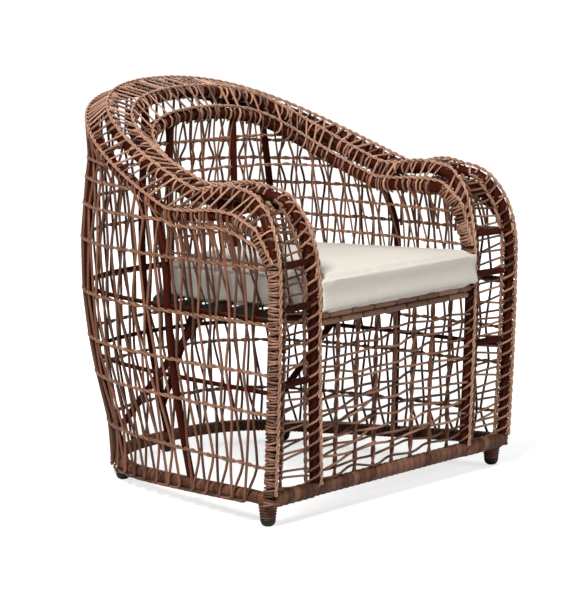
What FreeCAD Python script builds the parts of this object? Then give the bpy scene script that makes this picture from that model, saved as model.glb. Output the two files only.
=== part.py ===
import FreeCAD, Part
import math
import os
import Sketcher

Vector = FreeCAD.Vector

doc = FreeCAD.newDocument("rattan_armchair")
sheet = doc.addObject("Spreadsheet::Sheet", "Sizes")

# Driving sizes in millimetres and degrees. X is across the chair, Y runs from the front feet to the
# back, Z is up from the floor. A ring is a horseshoe in plan: it starts at half_width and front,
# leaves the front at angle lean, and closes at depth behind the line of the front feet.
# full_front and full_back say how far the curve holds its direction from each end.
SIZES = {
    # Stock
    "rail_radius": 10,
    "post_radius": 7,
    "hoop_radius": 4.5,
    "strand_radius": 2.2,
    "fit_gap": 0.3,
    # Base ring, on which the chair stands
    "base_height": 52,
    "base_fall": 20,
    "base_fall_start": 30,
    "base_fall_length": 380,
    "base_corner_clearance": 2,
    "base_half_width": 356,
    "base_front": -16,
    "base_lean": -10,
    "base_full_front": 440,
    "base_depth": 588,
    "base_full_back": 285,
    # Belly, the widest line of the outer wall
    "belly_height": 450,
    "belly_half_width": 357,
    "belly_front": -30,
    "belly_lean": 1.5,
    "belly_full_front": 480,
    "belly_depth": 660,
    "belly_full_back": 325,
    # Flare, the line where the outer stakes bend between base and belly
    "flare_height": 220,
    # Outer edge rail, the lower outside rail of the padded rim
    "outer_edge_half_width": 353,
    "outer_edge_front": 60,
    "outer_edge_lean": 2,
    "outer_edge_full_front": 368,
    "outer_edge_depth": 645,
    "outer_edge_full_back": 275,
    "outer_edge_dip": 563,
    "outer_edge_crest": 750,
    "outer_edge_rise": 0.175,
    "outer_edge_hump": 6,
    # Outer top rail, which rolls over at the front into the outer front post
    "outer_top_half_width": 325,
    "outer_top_front": 60,
    "outer_top_lean": 1,
    "outer_top_full_front": 355,
    "outer_top_depth": 603,
    "outer_top_full_back": 268,
    "outer_top_dip": 595,
    "outer_top_crest": 765,
    "outer_top_rise": 0.145,
    "outer_top_hump": 13,
    # Inner top rail, which rolls over at the front into the inner front post
    "inner_top_half_width": 265,
    "inner_top_front": 60,
    "inner_top_lean": 1,
    "inner_top_full_front": 400,
    "inner_top_depth": 525,
    "inner_top_full_back": 266,
    "inner_top_dip": 598,
    "inner_top_crest": 752,
    "inner_top_rise": 0.16,
    "inner_top_hump": 10,
    # Inner edge rail, the hoop round the sitter
    "inner_edge_half_width": 235,
    "inner_edge_front": 40,
    "inner_edge_lean": 1,
    "inner_edge_full_front": 400,
    "inner_edge_depth": 487,
    "inner_edge_full_back": 248,
    "inner_edge_dip": 571,
    "inner_edge_crest": 712,
    "inner_edge_rise": 0.17,
    "inner_edge_hump": 5,
    # Inner front post
    "inner_post_foot_x": 230,
    "inner_post_foot_front": -15,
    "inner_post_belly_x": 241,
    "inner_post_belly_front": -20,
    "inner_roll_height": 420,
    "outer_edge_landing": 480,
    "inner_edge_landing": 455,
    # Seat frame, which falls towards the back
    "seat_height": 376.4,
    "seat_slope": 2.5,
    "seat_half_width": 238,
    "seat_front": -2,
    "seat_full_front": 380,
    "seat_depth": 487,
    "seat_full_back": 248,
    "seat_front_rail_back": 25,
    "strap_thickness": 2,
    "strap_width": 50,
    "strap_pitch": 78,
    "strap_count": 5,
    "strap_first": 75,
    # Apron bars under the front edge of the seat
    "apron_front": -24,
    "apron_clearance": 1,
    "apron_bar_height": 12.7,
    "apron_bar_depth": 20,
    "apron_bar_round": 4,
    # Feet
    "front_foot_x": 345,
    "front_foot_front": 0,
    "glide_radius": 14.5,
    "glide_height": 14,
    "glide_chamfer": 2.5,
    "stub_low_radius": 15,
    "stub_top_radius": 18,
    # Rungs, hoops and braces
    "rung_low": 265,
    "rung_middle": 405,
    "rung_high": 485,
    "hoop_low": 250,
    "hoop_high": 385,
    "brace_foot_height": 95,
    "back_post_step_count": 5,
    # Weave
    "outer_stake_count": 75,
    "inner_stake_count": 57,
    "zigzag": 5,
    "outer_row_low": 110,
    "outer_row_pitch": 88,
    "outer_row_count": 7,
    "inner_row_low": 470,
    "inner_row_pitch": 64,
    "inner_row_count": 4,
    "row_margin": 34,
    "lace_pitch": 46,
    "lace_slant": 7,
    "lace_tail": 8,
    "front_lace_pitch": 44,
    "front_lace_low": 105,
    "panel_stake_count": 7,
    "panel_row_low": 130,
    "panel_row_pitch": 95,
    "panel_row_count": 3,
    # Cushion
    "cushion_thickness": 64,
    "cushion_crown": 7,
    "cushion_nose_length": 9.9,
    "cushion_nose_bow": 3,
    "cushion_ear_width": 18,
    "cushion_ear_round": 4,
    "cushion_ear_clearance": 4.6,
    "cushion_side_clearance": 5,
    "cushion_back_clearance": 9,
    "cushion_drawn_in": 3,
    "cushion_corner_clearance": 16,
}


def keep(alias, value):
    """Write one number into the next free row of the sheet under its name."""
    keep.row += 1
    sheet.set("A%d" % keep.row, alias)
    sheet.set("B%d" % keep.row, repr(value))
    sheet.setAlias("B%d" % keep.row, alias)


keep.row = 0
for name, value in SIZES.items():
    keep(name, value)
doc.recompute()


def size(alias):
    """One number of the sheet."""
    return float(sheet.get(alias))


def count(alias):
    """One whole number of the sheet."""
    return int(round(size(alias)))


GAP = size("fit_gap")
RAIL = size("rail_radius")
POST = size("post_radius")
HOOP = size("hoop_radius")
STRAND = size("strand_radius")

# Weaver rows lie outside the stakes. Lacing is drawn over the rails, and line strands lie on it.
CROSSING_SLACK = 0.2
ROW_OFFSET = 2 * STRAND + GAP + CROSSING_SLACK
LACE_OFFSET = RAIL + GAP + CROSSING_SLACK + STRAND
LINE_OFFSET = LACE_OFFSET + 2 * STRAND + GAP

# The cushion's nose lies in front of the laced inner posts. The origin lies on the floor under the
# middle of the whole chair, from that nose to the rearmost weaver.
EAR_BACK = size("inner_post_belly_front") - LACE_OFFSET - STRAND - size("cushion_ear_clearance")
NOSE = EAR_BACK - size("cushion_nose_length")
REAR_REACH = size("belly_depth") + ROW_OFFSET + STRAND
FRONT_LINE = -(REAR_REACH + NOSE - size("cushion_nose_bow")) / 2

RUNS_PER_HALF = 12
DENSE_STEPS = 240
HUMP_SHARE = 0.05
HUMP_SPREAD = 0.08


def mirrored(points):
    """The same points on the other side of the chair."""
    return [Vector(-point.x, point.y, point.z) for point in points]


def unit(vector):
    """The vector at length one."""
    return vector * (1 / vector.Length)


def evenly_spaced(points, runs):
    """A polyline with the given number of runs, equal in plan, along a dense curve."""
    lengths = [0.0]
    for before, after in zip(points, points[1:]):
        lengths.append(lengths[-1] + math.hypot(after.x - before.x, after.y - before.y))
    corners = []
    place = 0
    for step in range(runs + 1):
        wanted = lengths[-1] * step / runs
        while place < len(points) - 2 and lengths[place + 1] < wanted:
            place += 1
        share = (wanted - lengths[place]) / (lengths[place + 1] - lengths[place])
        corners.append(points[place] + (points[place + 1] - points[place]) * share)
    return corners


def ring(name, height):
    """Polyline of one ring from its left front end round the back to its right front end."""
    lean = math.radians(size(name + "_lean")) if name + "_lean" in SIZES else 0.0
    front = Vector(size(name + "_half_width"), size(name + "_front") + FRONT_LINE, 0)
    front_pull = front + Vector(math.sin(lean), math.cos(lean), 0) * size(name + "_full_front")
    back = Vector(0, size(name + "_depth") + FRONT_LINE, 0)
    back_pull = back + Vector(size(name + "_full_back"), 0, 0)
    curve = []
    for step in range(DENSE_STEPS + 1):
        share = step / DENSE_STEPS
        rest = 1 - share
        point = front * rest**3 + front_pull * (3 * rest**2 * share)
        point = point + back_pull * (3 * rest * share**2) + back * share**3
        point.z = height(share, point)
        curve.append(point)
    right = evenly_spaced(curve, RUNS_PER_HALF)
    return mirrored(right) + right[-2::-1]


def level(alias):
    """Height of a ring that lies level."""
    return lambda share, point: size(alias)


def base_level(share, point):
    """Height of the base ring: level under the arm fronts, then lower towards the rear feet."""
    behind = point.y - FRONT_LINE - size("base_fall_start")
    fallen = min(max(behind / size("base_fall_length"), 0), 1)
    return size("base_height") - size("base_fall") * fallen


def rim(name):
    """Height of a rim rail: level along the arm, a small hump near the front, then up to the crest."""
    def height(share, point):
        rise = size(name + "_rise")
        climb = min(max((share - rise) / (1 - rise), 0), 1)
        swell = min(max((share - HUMP_SHARE) / HUMP_SPREAD, -1), 1)
        dip = size(name + "_dip")
        crest = size(name + "_crest")
        hump = size(name + "_hump") * 0.5 * (1 + math.cos(math.pi * swell))
        return dip + (crest - dip) * math.sin(math.pi / 2 * climb) + hump
    return height


def seat_level(share, point):
    """Height of the sloping seat frame under a point."""
    fall = math.tan(math.radians(size("seat_slope")))
    return size("seat_height") - (point.y - FRONT_LINE - size("apron_front")) * fall


def along(points, share):
    """Point and direction of a polyline, by the share of its runs passed."""
    place = min(max(share, 0), 1) * (len(points) - 1)
    before = min(int(place), len(points) - 2)
    run = points[before + 1] - points[before]
    return points[before] + run * (place - before), unit(run)


def at_height(points, height):
    """Point and direction of a rising polyline at one height."""
    for before, after in zip(points, points[1:]):
        if height <= after.z:
            break
    run = after - before
    return before + run * ((height - before.z) / run.z), unit(run)


def seated(start, toward, radius, rail_point, rail_run, rail_radius):
    """End of a rod from start towards another, where its square end is one fit gap clear of it."""
    run = unit(toward - start)
    lean = run.dot(rail_run)
    across = run - rail_run * lean
    square = across.Length
    across = unit(across)
    reach = (rail_point - start).dot(across) - rail_radius - GAP - radius * abs(lean)
    return start + run * (reach / square)


base_ring = ring("base", base_level)
belly_ring = ring("belly", level("belly_height"))
outer_edge_ring = ring("outer_edge", rim("outer_edge"))
outer_top_ring = ring("outer_top", rim("outer_top"))
inner_top_ring = ring("inner_top", rim("inner_top"))
inner_edge_ring = ring("inner_edge", rim("inner_edge"))
seat_ring = ring("seat", seat_level)


def flare_share(height):
    """How far the outer wall has swung out from the base to the belly at one height."""
    climb = (height - size("base_height")) / (size("belly_height") - size("base_height"))
    return math.sin(math.pi / 2 * climb)


def outward(share):
    """Level direction out of the outer wall."""
    run = along(belly_ring, share)[1]
    return Vector(-run.y, run.x, 0)


def wall_corners(share, top_share=None):
    """Corners of the outer wall from the base ring to the outer edge rail, along one stake."""
    top_share = share if top_share is None else top_share
    middle_share = (share + top_share) / 2
    flare = size("flare_height")
    base = along(base_ring, middle_share)[0]
    bent = base + (along(belly_ring, middle_share)[0] - base) * flare_share(flare)
    bent.z = flare
    foot = along(base_ring, share)[0]
    belly = along(belly_ring, (middle_share + top_share) / 2)[0]
    return [foot, bent, belly, along(outer_edge_ring, top_share)[0]]


def front_post(foot, belly, roll_height, top):
    """Corners of a front post: up from its foot, out to its belly and rolled over into the rim."""
    corners = []
    post_runs = 4
    for step in range(post_runs):
        share = step / post_runs
        swing = math.sin(math.pi / 2 * share)
        point = foot + (belly - foot) * swing
        point.z = foot.z + (roll_height - foot.z) * share
        corners.append(point)
    roll_runs = 6
    for step in range(roll_runs):
        turn = math.pi / 2 * step / roll_runs
        point = belly + (top - belly) * (1 - math.cos(turn))
        point.z = roll_height + (top.z - roll_height) * math.sin(turn)
        corners.append(point)
    first_run = unit(corners[1] - corners[0])
    corners[0] = corners[0] + first_run * (RAIL * math.hypot(first_run.x, first_run.y) / first_run.z)
    return corners


post_bottom = size("base_height") - RAIL
outer_foot = Vector(base_ring[0].x, base_ring[0].y, post_bottom)
outer_post = front_post(outer_foot, belly_ring[0], size("belly_height"), outer_top_ring[0])
inner_foot = Vector(-size("inner_post_foot_x"), size("inner_post_foot_front") + FRONT_LINE, post_bottom)
inner_belly = Vector(-size("inner_post_belly_x"), size("inner_post_belly_front") + FRONT_LINE, 0)
inner_post = front_post(inner_foot, inner_belly, size("inner_roll_height"), inner_top_ring[0])
outer_post_right = mirrored(outer_post)
inner_post_right = mirrored(inner_post)

sub_parts = []


def straight_tube(name, ends, radius_alias):
    """A straight round tube between two points."""
    run = ends[1] - ends[0]
    keep(name + "_length", run.Length)
    piece = doc.addObject("Part::Cylinder", name)
    piece.setExpression("Radius", "Sizes." + radius_alias)
    piece.setExpression("Height", "Sizes." + name + "_length")
    piece.Placement = FreeCAD.Placement(ends[0], FreeCAD.Rotation(Vector(0, 0, 1), run))
    return piece


def finish(piece, label):
    """Name a piece and count it among the sub-parts."""
    piece.Label = label
    sub_parts.append(piece)


def straight_part(label, ends, radius_alias="rail_radius"):
    """One straight tube as a sub-part."""
    finish(straight_tube(label, ends, radius_alias), label)


STRAND_SIDES = 5
HOOP_SIDES = 6
TUBE_SIDES = 10


def bent_rod(points, radius, sides, end_radius=None):
    """A rod along a polyline, with flat sides that are mitred at its bends. A straight one may taper."""
    growth = end_radius / radius if end_radius else 1
    runs = [unit(after - before) for before, after in zip(points, points[1:])]
    side = unit(runs[0].cross(Vector(0, 0, 1) if abs(runs[0].z) < 0.9 else Vector(1, 0, 0)))
    rise = runs[0].cross(side)
    turns = [2 * math.pi * corner / sides for corner in range(sides)]
    section = [points[0] + (side * math.cos(turn) + rise * math.sin(turn)) * radius for turn in turns]
    faces = [Part.Face(Part.makePolygon(section + section[:1]))]
    for index, run in enumerate(runs):
        onward = runs[min(index + 1, len(runs) - 1)]
        cut = unit(run + onward)
        end = points[index + 1]
        moved = [corner + run * ((end - corner).dot(cut) / run.dot(cut)) for corner in section]
        moved = [end + (corner - end) * growth for corner in moved]
        for corner in range(sides):
            after = (corner + 1) % sides
            quad = [section[corner], section[after], moved[after], moved[corner], section[corner]]
            faces.append(Part.Face(Part.makePolygon(quad)))
        section = moved
    faces.append(Part.Face(Part.makePolygon(section + section[:1])))
    solid = Part.makeSolid(Part.makeShell(faces))
    if solid.Volume < 0:
        solid.reverse()
    return solid


def bent_group(label, paths, radius, sides, end_radius=None):
    """One or several bent rods as one sub-part of separate solids."""
    solids = [bent_rod(path, radius, sides, end_radius) for path in paths]
    group = doc.addObject("Part::Feature", label)
    group.Shape = solids[0] if len(solids) == 1 else Part.makeCompound(solids)
    group.Placement = FreeCAD.Placement()
    finish(group, label)


def tube(label, points, radius=RAIL):
    """One bent tube as a sub-part."""
    bent_group(label, [points], radius, TUBE_SIDES)


def strand_group(label, paths):
    """Several strands as one sub-part of separate solids."""
    bent_group(label, paths, STRAND, STRAND_SIDES)


def run_middle(points, index):
    """Middle of one run of a polyline, where two lengths of tube meet face to face."""
    return (points[index] + points[index + 1]) * 0.5


def three_lengths(label, points, first, start, end):
    """A ring as a left, a back and a right length that meet face to face."""
    last = len(points) - 2 - first
    left_end = run_middle(points, first)
    right_start = run_middle(points, last)
    tube(label % "left", start + points[1:first + 1] + [left_end])
    tube(label % "back", [left_end] + points[first + 1:last + 1] + [right_start])
    tube(label % "right", [right_start] + points[last + 1:-1] + end)


# Outer and inner top rails: each arm tube is a front post, its roll and the arm's length of rail
ARM_RUN_COUNT = 5
for name, post, top in (("outer", outer_post, outer_top_ring), ("inner", inner_post, inner_top_ring)):
    last_run = len(top) - 2 - ARM_RUN_COUNT
    left_end = run_middle(top, ARM_RUN_COUNT)
    right_start = run_middle(top, last_run)
    tube(name + "_arm_tube_left", post + top[:ARM_RUN_COUNT + 1] + [left_end])
    tube(name + "_crest_tube", [left_end] + top[ARM_RUN_COUNT + 1:last_run + 1] + [right_start])
    tube(name + "_arm_tube_right", [right_start] + top[last_run + 1:] + mirrored(post)[::-1])

# Edge rails: each comes down at the front and lands on its front post
for name, post, edge in (("outer", outer_post, outer_edge_ring), ("inner", inner_post, inner_edge_ring)):
    landing = at_height(post, size(name + "_edge_landing"))[0]
    foot = landing
    for closer in range(4):
        beside, post_run = at_height(post, foot.z)
        foot = seated(edge[0], landing, RAIL, beside, post_run, RAIL)
    three_lengths(name + "_edge_rail_%s", edge, ARM_RUN_COUNT, [foot, edge[0]], mirrored([edge[0], foot]))

# Base ring, its front rail and the short pieces between the front posts
post_at_base, post_run = at_height(outer_post, size("base_height"))
corner_radius = RAIL + size("base_corner_clearance")
base_start = seated(base_ring[1], base_ring[0], RAIL, post_at_base, post_run, corner_radius)
FOOT_RUN_COUNT = 8
three_lengths("base_rail_%s", base_ring, FOOT_RUN_COUNT - 1, [base_start], mirrored([base_start]))


def crosspiece(first_path, second_path, height, radius):
    """Straight piece between two rising tubes at one height, seated on both."""
    first, first_run = at_height(first_path, height)
    second, second_run = at_height(second_path, height)
    return [
        seated(second, first, radius, first, first_run, RAIL),
        seated(first, second, radius, second, second_run, RAIL),
    ]


straight_part("base_rail_front", crosspiece(inner_post, inner_post_right, size("base_height"), RAIL))
arm_base = crosspiece(outer_post, inner_post, size("base_height"), RAIL)
tube("arm_base_left", arm_base)
tube("arm_base_right", mirrored(arm_base))
rung_names = ("rung_low", "rung_middle", "rung_high")
rungs = [crosspiece(outer_post, inner_post, size(name), POST) for name in rung_names]
bent_group("arm_rungs", rungs + [mirrored(rung) for rung in rungs], POST, TUBE_SIDES)

# Posts of the outer wall: they take the place of single stakes, flush with them on the outside
stake_total = count("outer_stake_count")
STAKES_PER_RUN = 4
FIRST_STAKE = 0.028
stake_step = (1 - 2 * FIRST_STAKE) / (stake_total - 1)
stake_shares = [FIRST_STAKE + stake_step * index for index in range(stake_total)]


def nearest_stake(share):
    """Number of the outer stake nearest to one share of the ring."""
    return min(range(stake_total), key=lambda index: abs(stake_shares[index] - share))


REAR_FOOT_SHARE = 0.325
MID_POST_SHARE = 0.16
mid_post = nearest_stake(MID_POST_SHARE)
rear_post = nearest_stake(REAR_FOOT_SHARE)
centre_post = nearest_stake(0.5)
post_stakes = {
    "mid_side_post_left": mid_post,
    "rear_side_post_left": rear_post,
    "centre_rear_post": centre_post,
    "rear_side_post_right": stake_total - 1 - rear_post,
    "mid_side_post_right": stake_total - 1 - mid_post,
}


def between_rails(corners, radius, low_ring, low_share, high_ring, high_share):
    """The same corners with both ends cut back to seat on the rails there."""
    low, low_run = along(low_ring, low_share)
    high, high_run = along(high_ring, high_share)
    start = seated(corners[1], corners[0], radius, low, low_run, RAIL)
    end = seated(corners[-2], corners[-1], radius, high, high_run, RAIL)
    return [start] + corners[1:-1] + [end]


wall_posts = {}
for label, index in post_stakes.items():
    share = stake_shares[index]
    inset = outward(share) * (STRAND - POST)
    corners = [corner + inset for corner in wall_corners(share)]
    wall_posts[label] = between_rails(corners, POST, base_ring, share, outer_edge_ring, share)
    tube(label, wall_posts[label], POST)


def beside_seat(y):
    """Point of the left side rail of the seat, at one distance back."""
    for before, after in zip(seat_ring, seat_ring[1:]):
        if y < after.y:
            break
    run = after - before
    return before + run * ((y - before.y) / run.y)


# Seat frame: side and back rails in one sloping horseshoe from the inner posts, and a front rail
post_at_seat, post_run = at_height(inner_post, seat_ring[0].z)
seat_start = seated(seat_ring[1], post_at_seat, RAIL, post_at_seat, post_run, RAIL)
SEAT_RUN_COUNT = 7
three_lengths("seat_rail_%s", seat_ring, SEAT_RUN_COUNT, [seat_start], mirrored([seat_start]))
side_point = beside_seat(size("seat_front_rail_back") + FRONT_LINE)
side_run = unit(beside_seat(side_point.y + RAIL) - side_point)
front_rail_end = seated(mirrored([side_point])[0], side_point, RAIL, side_point, side_run, RAIL)
straight_part("seat_rail_front", [front_rail_end] + mirrored([front_rail_end]))


# Webbing straps lie across the side rails, between the feet of the inner stakes
slope = FreeCAD.Rotation(Vector(1, 0, 0), -size("seat_slope"))
straps = []
for index in range(count("strap_count")):
    strap_y = size("strap_first") + size("strap_pitch") * index + FRONT_LINE
    rail_point = beside_seat(strap_y)
    reach = -beside_seat(strap_y + size("strap_width") / 2).x - STRAND - 2 * GAP
    strap = Part.makeBox(2 * reach, size("strap_width"), size("strap_thickness"))
    strap.translate(Vector(-reach, -size("strap_width") / 2, RAIL + GAP))
    tilted = FreeCAD.Placement(Vector(0, rail_point.y, rail_point.z), slope)
    strap.Placement = tilted.multiply(strap.Placement)
    straps.append(strap)
webbing = doc.addObject("Part::Feature", "seat_webbing")
webbing.Shape = Part.makeCompound(straps)
webbing.Placement = FreeCAD.Placement()
webbing.Label = "seat_webbing"
sub_parts.append(webbing)

# Braces from the rear posts, above their feet, up and forward to the seat frame
BRACE_SIDE_SHARE = 0.2
braces = []
for label, share in (("rear_side_post_left", BRACE_SIDE_SHARE), ("centre_rear_post", 0.5)):
    foot, foot_run = at_height(wall_posts[label], size("brace_foot_height"))
    head, head_run = along(seat_ring, share)
    low = seated(head, foot, POST, foot, foot_run, POST)
    braces.append([low, seated(foot, head, POST, head, head_run, RAIL)])
braces.append(mirrored(braces[0]))
bent_group("rear_braces", braces, POST, TUBE_SIDES)

# Hoops inside the outer wall, in lengths between the posts
hoop_stops = [(None, outer_post)] + [(index, wall_posts[label]) for label, index in post_stakes.items()]
hoop_stops.append((None, outer_post_right))


def wall_point(share, height):
    """Point of the outer wall at one height."""
    return at_height(wall_corners(share), height)[0]


def hoop_lengths(height):
    """One hoop as lengths seated between neighbouring posts."""
    lengths = []
    inset = STRAND + GAP + HOOP
    for (before, before_path), (after, after_path) in zip(hoop_stops, hoop_stops[1:]):
        first = -1 if before is None else before
        last = stake_total if after is None else after
        shares = [0.0 if before is None else stake_shares[before]]
        shares += [stake_shares[index] for index in range(first + 1, last, STAKES_PER_RUN)]
        shares += [1.0 if after is None else stake_shares[after]]
        corners = [wall_point(share, height) - outward(share) * inset for share in shares]
        first_post, first_run = at_height(before_path, height)
        last_post, last_run = at_height(after_path, height)
        first_radius = RAIL if before is None else POST
        last_radius = RAIL if after is None else POST
        start = seated(corners[1], corners[0], HOOP, first_post, first_run, first_radius)
        end = seated(corners[-2], corners[-1], HOOP, last_post, last_run, last_radius)
        lengths.append([start] + corners[1:-1] + [end])
    return lengths


bent_group("lower_hoop", hoop_lengths(size("hoop_low")), HOOP, HOOP_SIDES)
bent_group("upper_hoop", hoop_lengths(size("hoop_high")), HOOP, HOOP_SIDES)

# Outer stakes: single strands from the base ring to the outer edge rail, leaning by turns
wall_length = sum((after - before).Length for before, after in zip(belly_ring, belly_ring[1:]))
ZIGZAG_SHARE = size("zigzag") / wall_length


def stakes_between(first, last):
    """Outer stakes numbered from first up to last, without those replaced by posts."""
    paths = []
    for index in range(first, last):
        if index in post_stakes.values():
            continue
        tilt = ZIGZAG_SHARE * (-1) ** index
        low_share = stake_shares[index] - tilt
        high_share = stake_shares[index] + tilt
        corners = wall_corners(low_share, high_share)
        paths.append(between_rails(corners, STRAND, base_ring, low_share, outer_edge_ring, high_share))
    return paths


strand_group("outer_stakes_left", stakes_between(0, rear_post))
strand_group("outer_stakes_back", stakes_between(rear_post, stake_total - rear_post))
strand_group("outer_stakes_right", stakes_between(stake_total - rear_post, stake_total))

# Weaver rows lie outside the stakes; rows that reach the rim stop where it comes down
ROW_PIECES = 8


def pieces_of(points, count_of_pieces):
    """A long polyline as shorter ones that meet end to end at the middles of runs."""
    runs = len(points) - 1
    pieces = []
    start = [points[0]]
    first = 1
    for piece in range(1, count_of_pieces):
        cut = max(first, round(runs * piece / count_of_pieces))
        middle = run_middle(points, cut)
        pieces.append(start + points[first:cut + 1] + [middle])
        start = [middle]
        first = cut + 1
    pieces.append(start + points[first:])
    return pieces


def row_corners(points, normals):
    """Corners of a row over every fourth stake, far enough out that its chords clear those between."""
    stops = list(range(0, len(points) - 1, STAKES_PER_RUN)) + [len(points) - 1]
    bulges = []
    for first, last in zip(stops, stops[1:]):
        chord = unit(points[last] - points[first])
        rises = [point - points[first] for point in points[first:last + 1]]
        bulges.append(max((rise - chord * rise.dot(chord)).Length for rise in rises))
    bulges = bulges[:1] + bulges + bulges[-1:]
    corners = []
    for order, stop in enumerate(stops):
        bulge = max(bulges[order], bulges[order + 1])
        corners.append(points[stop] + normals[stop] * (ROW_OFFSET + bulge))
    return corners


def outer_row(height):
    """One weaver row of the outer wall, seated on the outer front posts where it reaches them."""
    shares = [s for s in stake_shares if along(outer_edge_ring, s)[0].z - height > size("row_margin")]
    points = [wall_point(share, height) for share in shares]
    corners = row_corners(points, [outward(share) for share in shares])
    if shares[0] == stake_shares[0]:
        post, post_run = at_height(outer_post, height)
        toward = post + outward(0) * ROW_OFFSET
        corners[0] = seated(corners[1], toward, STRAND, post, post_run, RAIL)
        corners[-1] = mirrored(corners[:1])[0]
    return pieces_of(corners, max(2, round(ROW_PIECES * len(shares) / stake_total)))


outer_rows = []
for index in range(count("outer_row_count")):
    outer_rows += outer_row(size("outer_row_low") + index * size("outer_row_pitch"))
strand_group("outer_weavers", outer_rows)

# Inner wall: stakes from the seat frame to the inner edge rail, two posts behind the sitter and rows
inner_total = count("inner_stake_count")
FIRST_INNER_STAKE = 0.07
inner_step = (1 - 2 * FIRST_INNER_STAKE) / (inner_total - 1)
inner_shares = [FIRST_INNER_STAKE + inner_step * index for index in range(inner_total)]
back_post = inner_total // 2 - count("back_post_step_count")
back_posts = (back_post, inner_total - 1 - back_post)


def inner_outward(share):
    """Level direction out of the inner wall, away from the sitter."""
    run = along(seat_ring, share)[1]
    return unit(Vector(-run.y, run.x, 0))


inner_length = sum((after - before).Length for before, after in zip(seat_ring, seat_ring[1:]))
INNER_ZIGZAG_SHARE = size("zigzag") / inner_length


def inner_stake(index, radius, inset):
    """One upright of the inner wall, seated on the seat frame and under the inner edge rail."""
    tilt = 0 if index in back_posts else INNER_ZIGZAG_SHARE * (-1) ** index
    low_share = inner_shares[index] - tilt
    high_share = inner_shares[index] + tilt
    shift = inner_outward(inner_shares[index]) * -inset
    low = along(seat_ring, low_share)[0] + shift
    high = along(inner_edge_ring, high_share)[0] + shift
    corners = [low, (low + high) * 0.5, high]
    return between_rails(corners, radius, seat_ring, low_share, inner_edge_ring, high_share)


inner_paths = {}
for index in range(inner_total):
    if index not in back_posts:
        path = inner_stake(index, STRAND, 0)
        inner_paths[index] = [path[0], path[-1]]
back_first = inner_total // 3
groups = (("left", 0, back_first), ("back", back_first, inner_total - back_first))
groups += (("right", inner_total - back_first, inner_total),)
for side, first, last in groups:
    strand_group("inner_stakes_" + side, [inner_paths[i] for i in range(first, last) if i in inner_paths])
post_paths = [inner_stake(index, POST, POST - STRAND) for index in back_posts]
bent_group("back_posts", [[path[0], path[-1]] for path in post_paths], POST, TUBE_SIDES)


def inner_row(height):
    """One weaver row of the inner wall, on the side away from the sitter."""
    points = []
    normals = []
    for share in inner_shares:
        low = along(seat_ring, share)[0]
        high = along(inner_edge_ring, share)[0]
        if high.z - height > size("row_margin"):
            points.append(low + (high - low) * ((height - low.z) / (high.z - low.z)))
            normals.append(inner_outward(share))
    corners = row_corners(points, normals)
    return pieces_of(corners, max(2, round(ROW_PIECES * len(points) / inner_total)))


inner_rows = []
for index in range(count("inner_row_count")):
    inner_rows += inner_row(size("inner_row_low") + index * size("inner_row_pitch"))
strand_group("inner_weavers", inner_rows)

# Lacing of the rim: strands drawn over the four rails, and a line strand along each rail on top
def offset_corners(stations, distance, tail):
    """Corners of a strand drawn over rails, at one distance from their axes, with free tails."""
    points = [point for point, run in stations]
    normals = []
    for (point, run), (after, after_run) in zip(stations, stations[1:]):
        normals.append(unit((after - point).cross(run + after_run)))
    first_run = unit(points[1] - points[0])
    last_run = unit(points[-1] - points[-2])
    corners = [points[0] + normals[0] * distance - first_run * tail]
    for point, before, after in zip(points[1:-1], normals, normals[1:]):
        corners.append(point + (before + after) * (distance / (1 + before.dot(after))))
    corners.append(points[-1] + normals[-1] * distance + last_run * tail)
    return corners


rim_rails = (outer_edge_ring, outer_top_ring, inner_top_ring, inner_edge_ring)
rim_length = sum((after - before).Length for before, after in zip(outer_top_ring, outer_top_ring[1:]))
lace_step = size("lace_pitch") / rim_length
slant_step = size("lace_slant") / rim_length
FIRST_LACE = 0.012
lace_total = int((0.5 - FIRST_LACE - 3 * slant_step - lace_step / 3) / lace_step) + 1
left_laces = []
line_corners = [[] for rail in rim_rails]
for index in range(lace_total):
    share = FIRST_LACE + lace_step * index
    stations = [along(rail, share + slant_step * order) for order, rail in enumerate(rim_rails)]
    left_laces.append(offset_corners(stations, LACE_OFFSET, size("lace_tail")))
    for corners, corner in zip(line_corners, offset_corners(stations, LINE_OFFSET, 0)):
        corners.append(corner)
right_laces = [mirrored(path) for path in left_laces]
arm_laces = lace_total // 2
strand_group("rim_lacing_left", left_laces[:arm_laces])
strand_group("rim_lacing_back", left_laces[arm_laces:] + right_laces[arm_laces:])
strand_group("rim_lacing_right", right_laces[:arm_laces])
LINE_PIECES = 6
for label, corners in zip(("outer_edge", "outer_top", "inner_top", "inner_edge"), line_corners):
    whole = corners + mirrored(corners)[::-1]
    strand_group(label + "_line", pieces_of(whole, LINE_PIECES))

# Lacing of the arm fronts, drawn across the two front posts
front_laces = []
height = size("front_lace_low")
rise = size("front_lace_pitch") / 2
roll_top = outer_post[-1].z
while height + rise < roll_top:
    stations = [at_height(outer_post, height), at_height(inner_post, height + rise)]
    front_laces.append(offset_corners(stations, LACE_OFFSET, size("lace_tail")))
    height += size("front_lace_pitch")
strand_group("front_lacing_left", front_laces)
strand_group("front_lacing_right", [mirrored(path) for path in front_laces])

# Apron: two padded bars between the inner posts, under the front edge of the cushion
cushion_foot = size("seat_height") + RAIL + GAP + size("strap_thickness") + GAP
apron_top = cushion_foot - size("apron_clearance")
apron_low = apron_top - 2 * size("apron_bar_height") - GAP
apron_ends = [at_height(inner_post, height)[0].x for height in (apron_low, apron_top)]
keep("apron_length", 2 * (-max(apron_ends) - RAIL - GAP))
doc.recompute()


def plane_of(body, role):
    """One of the body's own origin planes."""
    return next(plane for plane in body.Origin.OriginFeatures if plane.Role == role)


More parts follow.
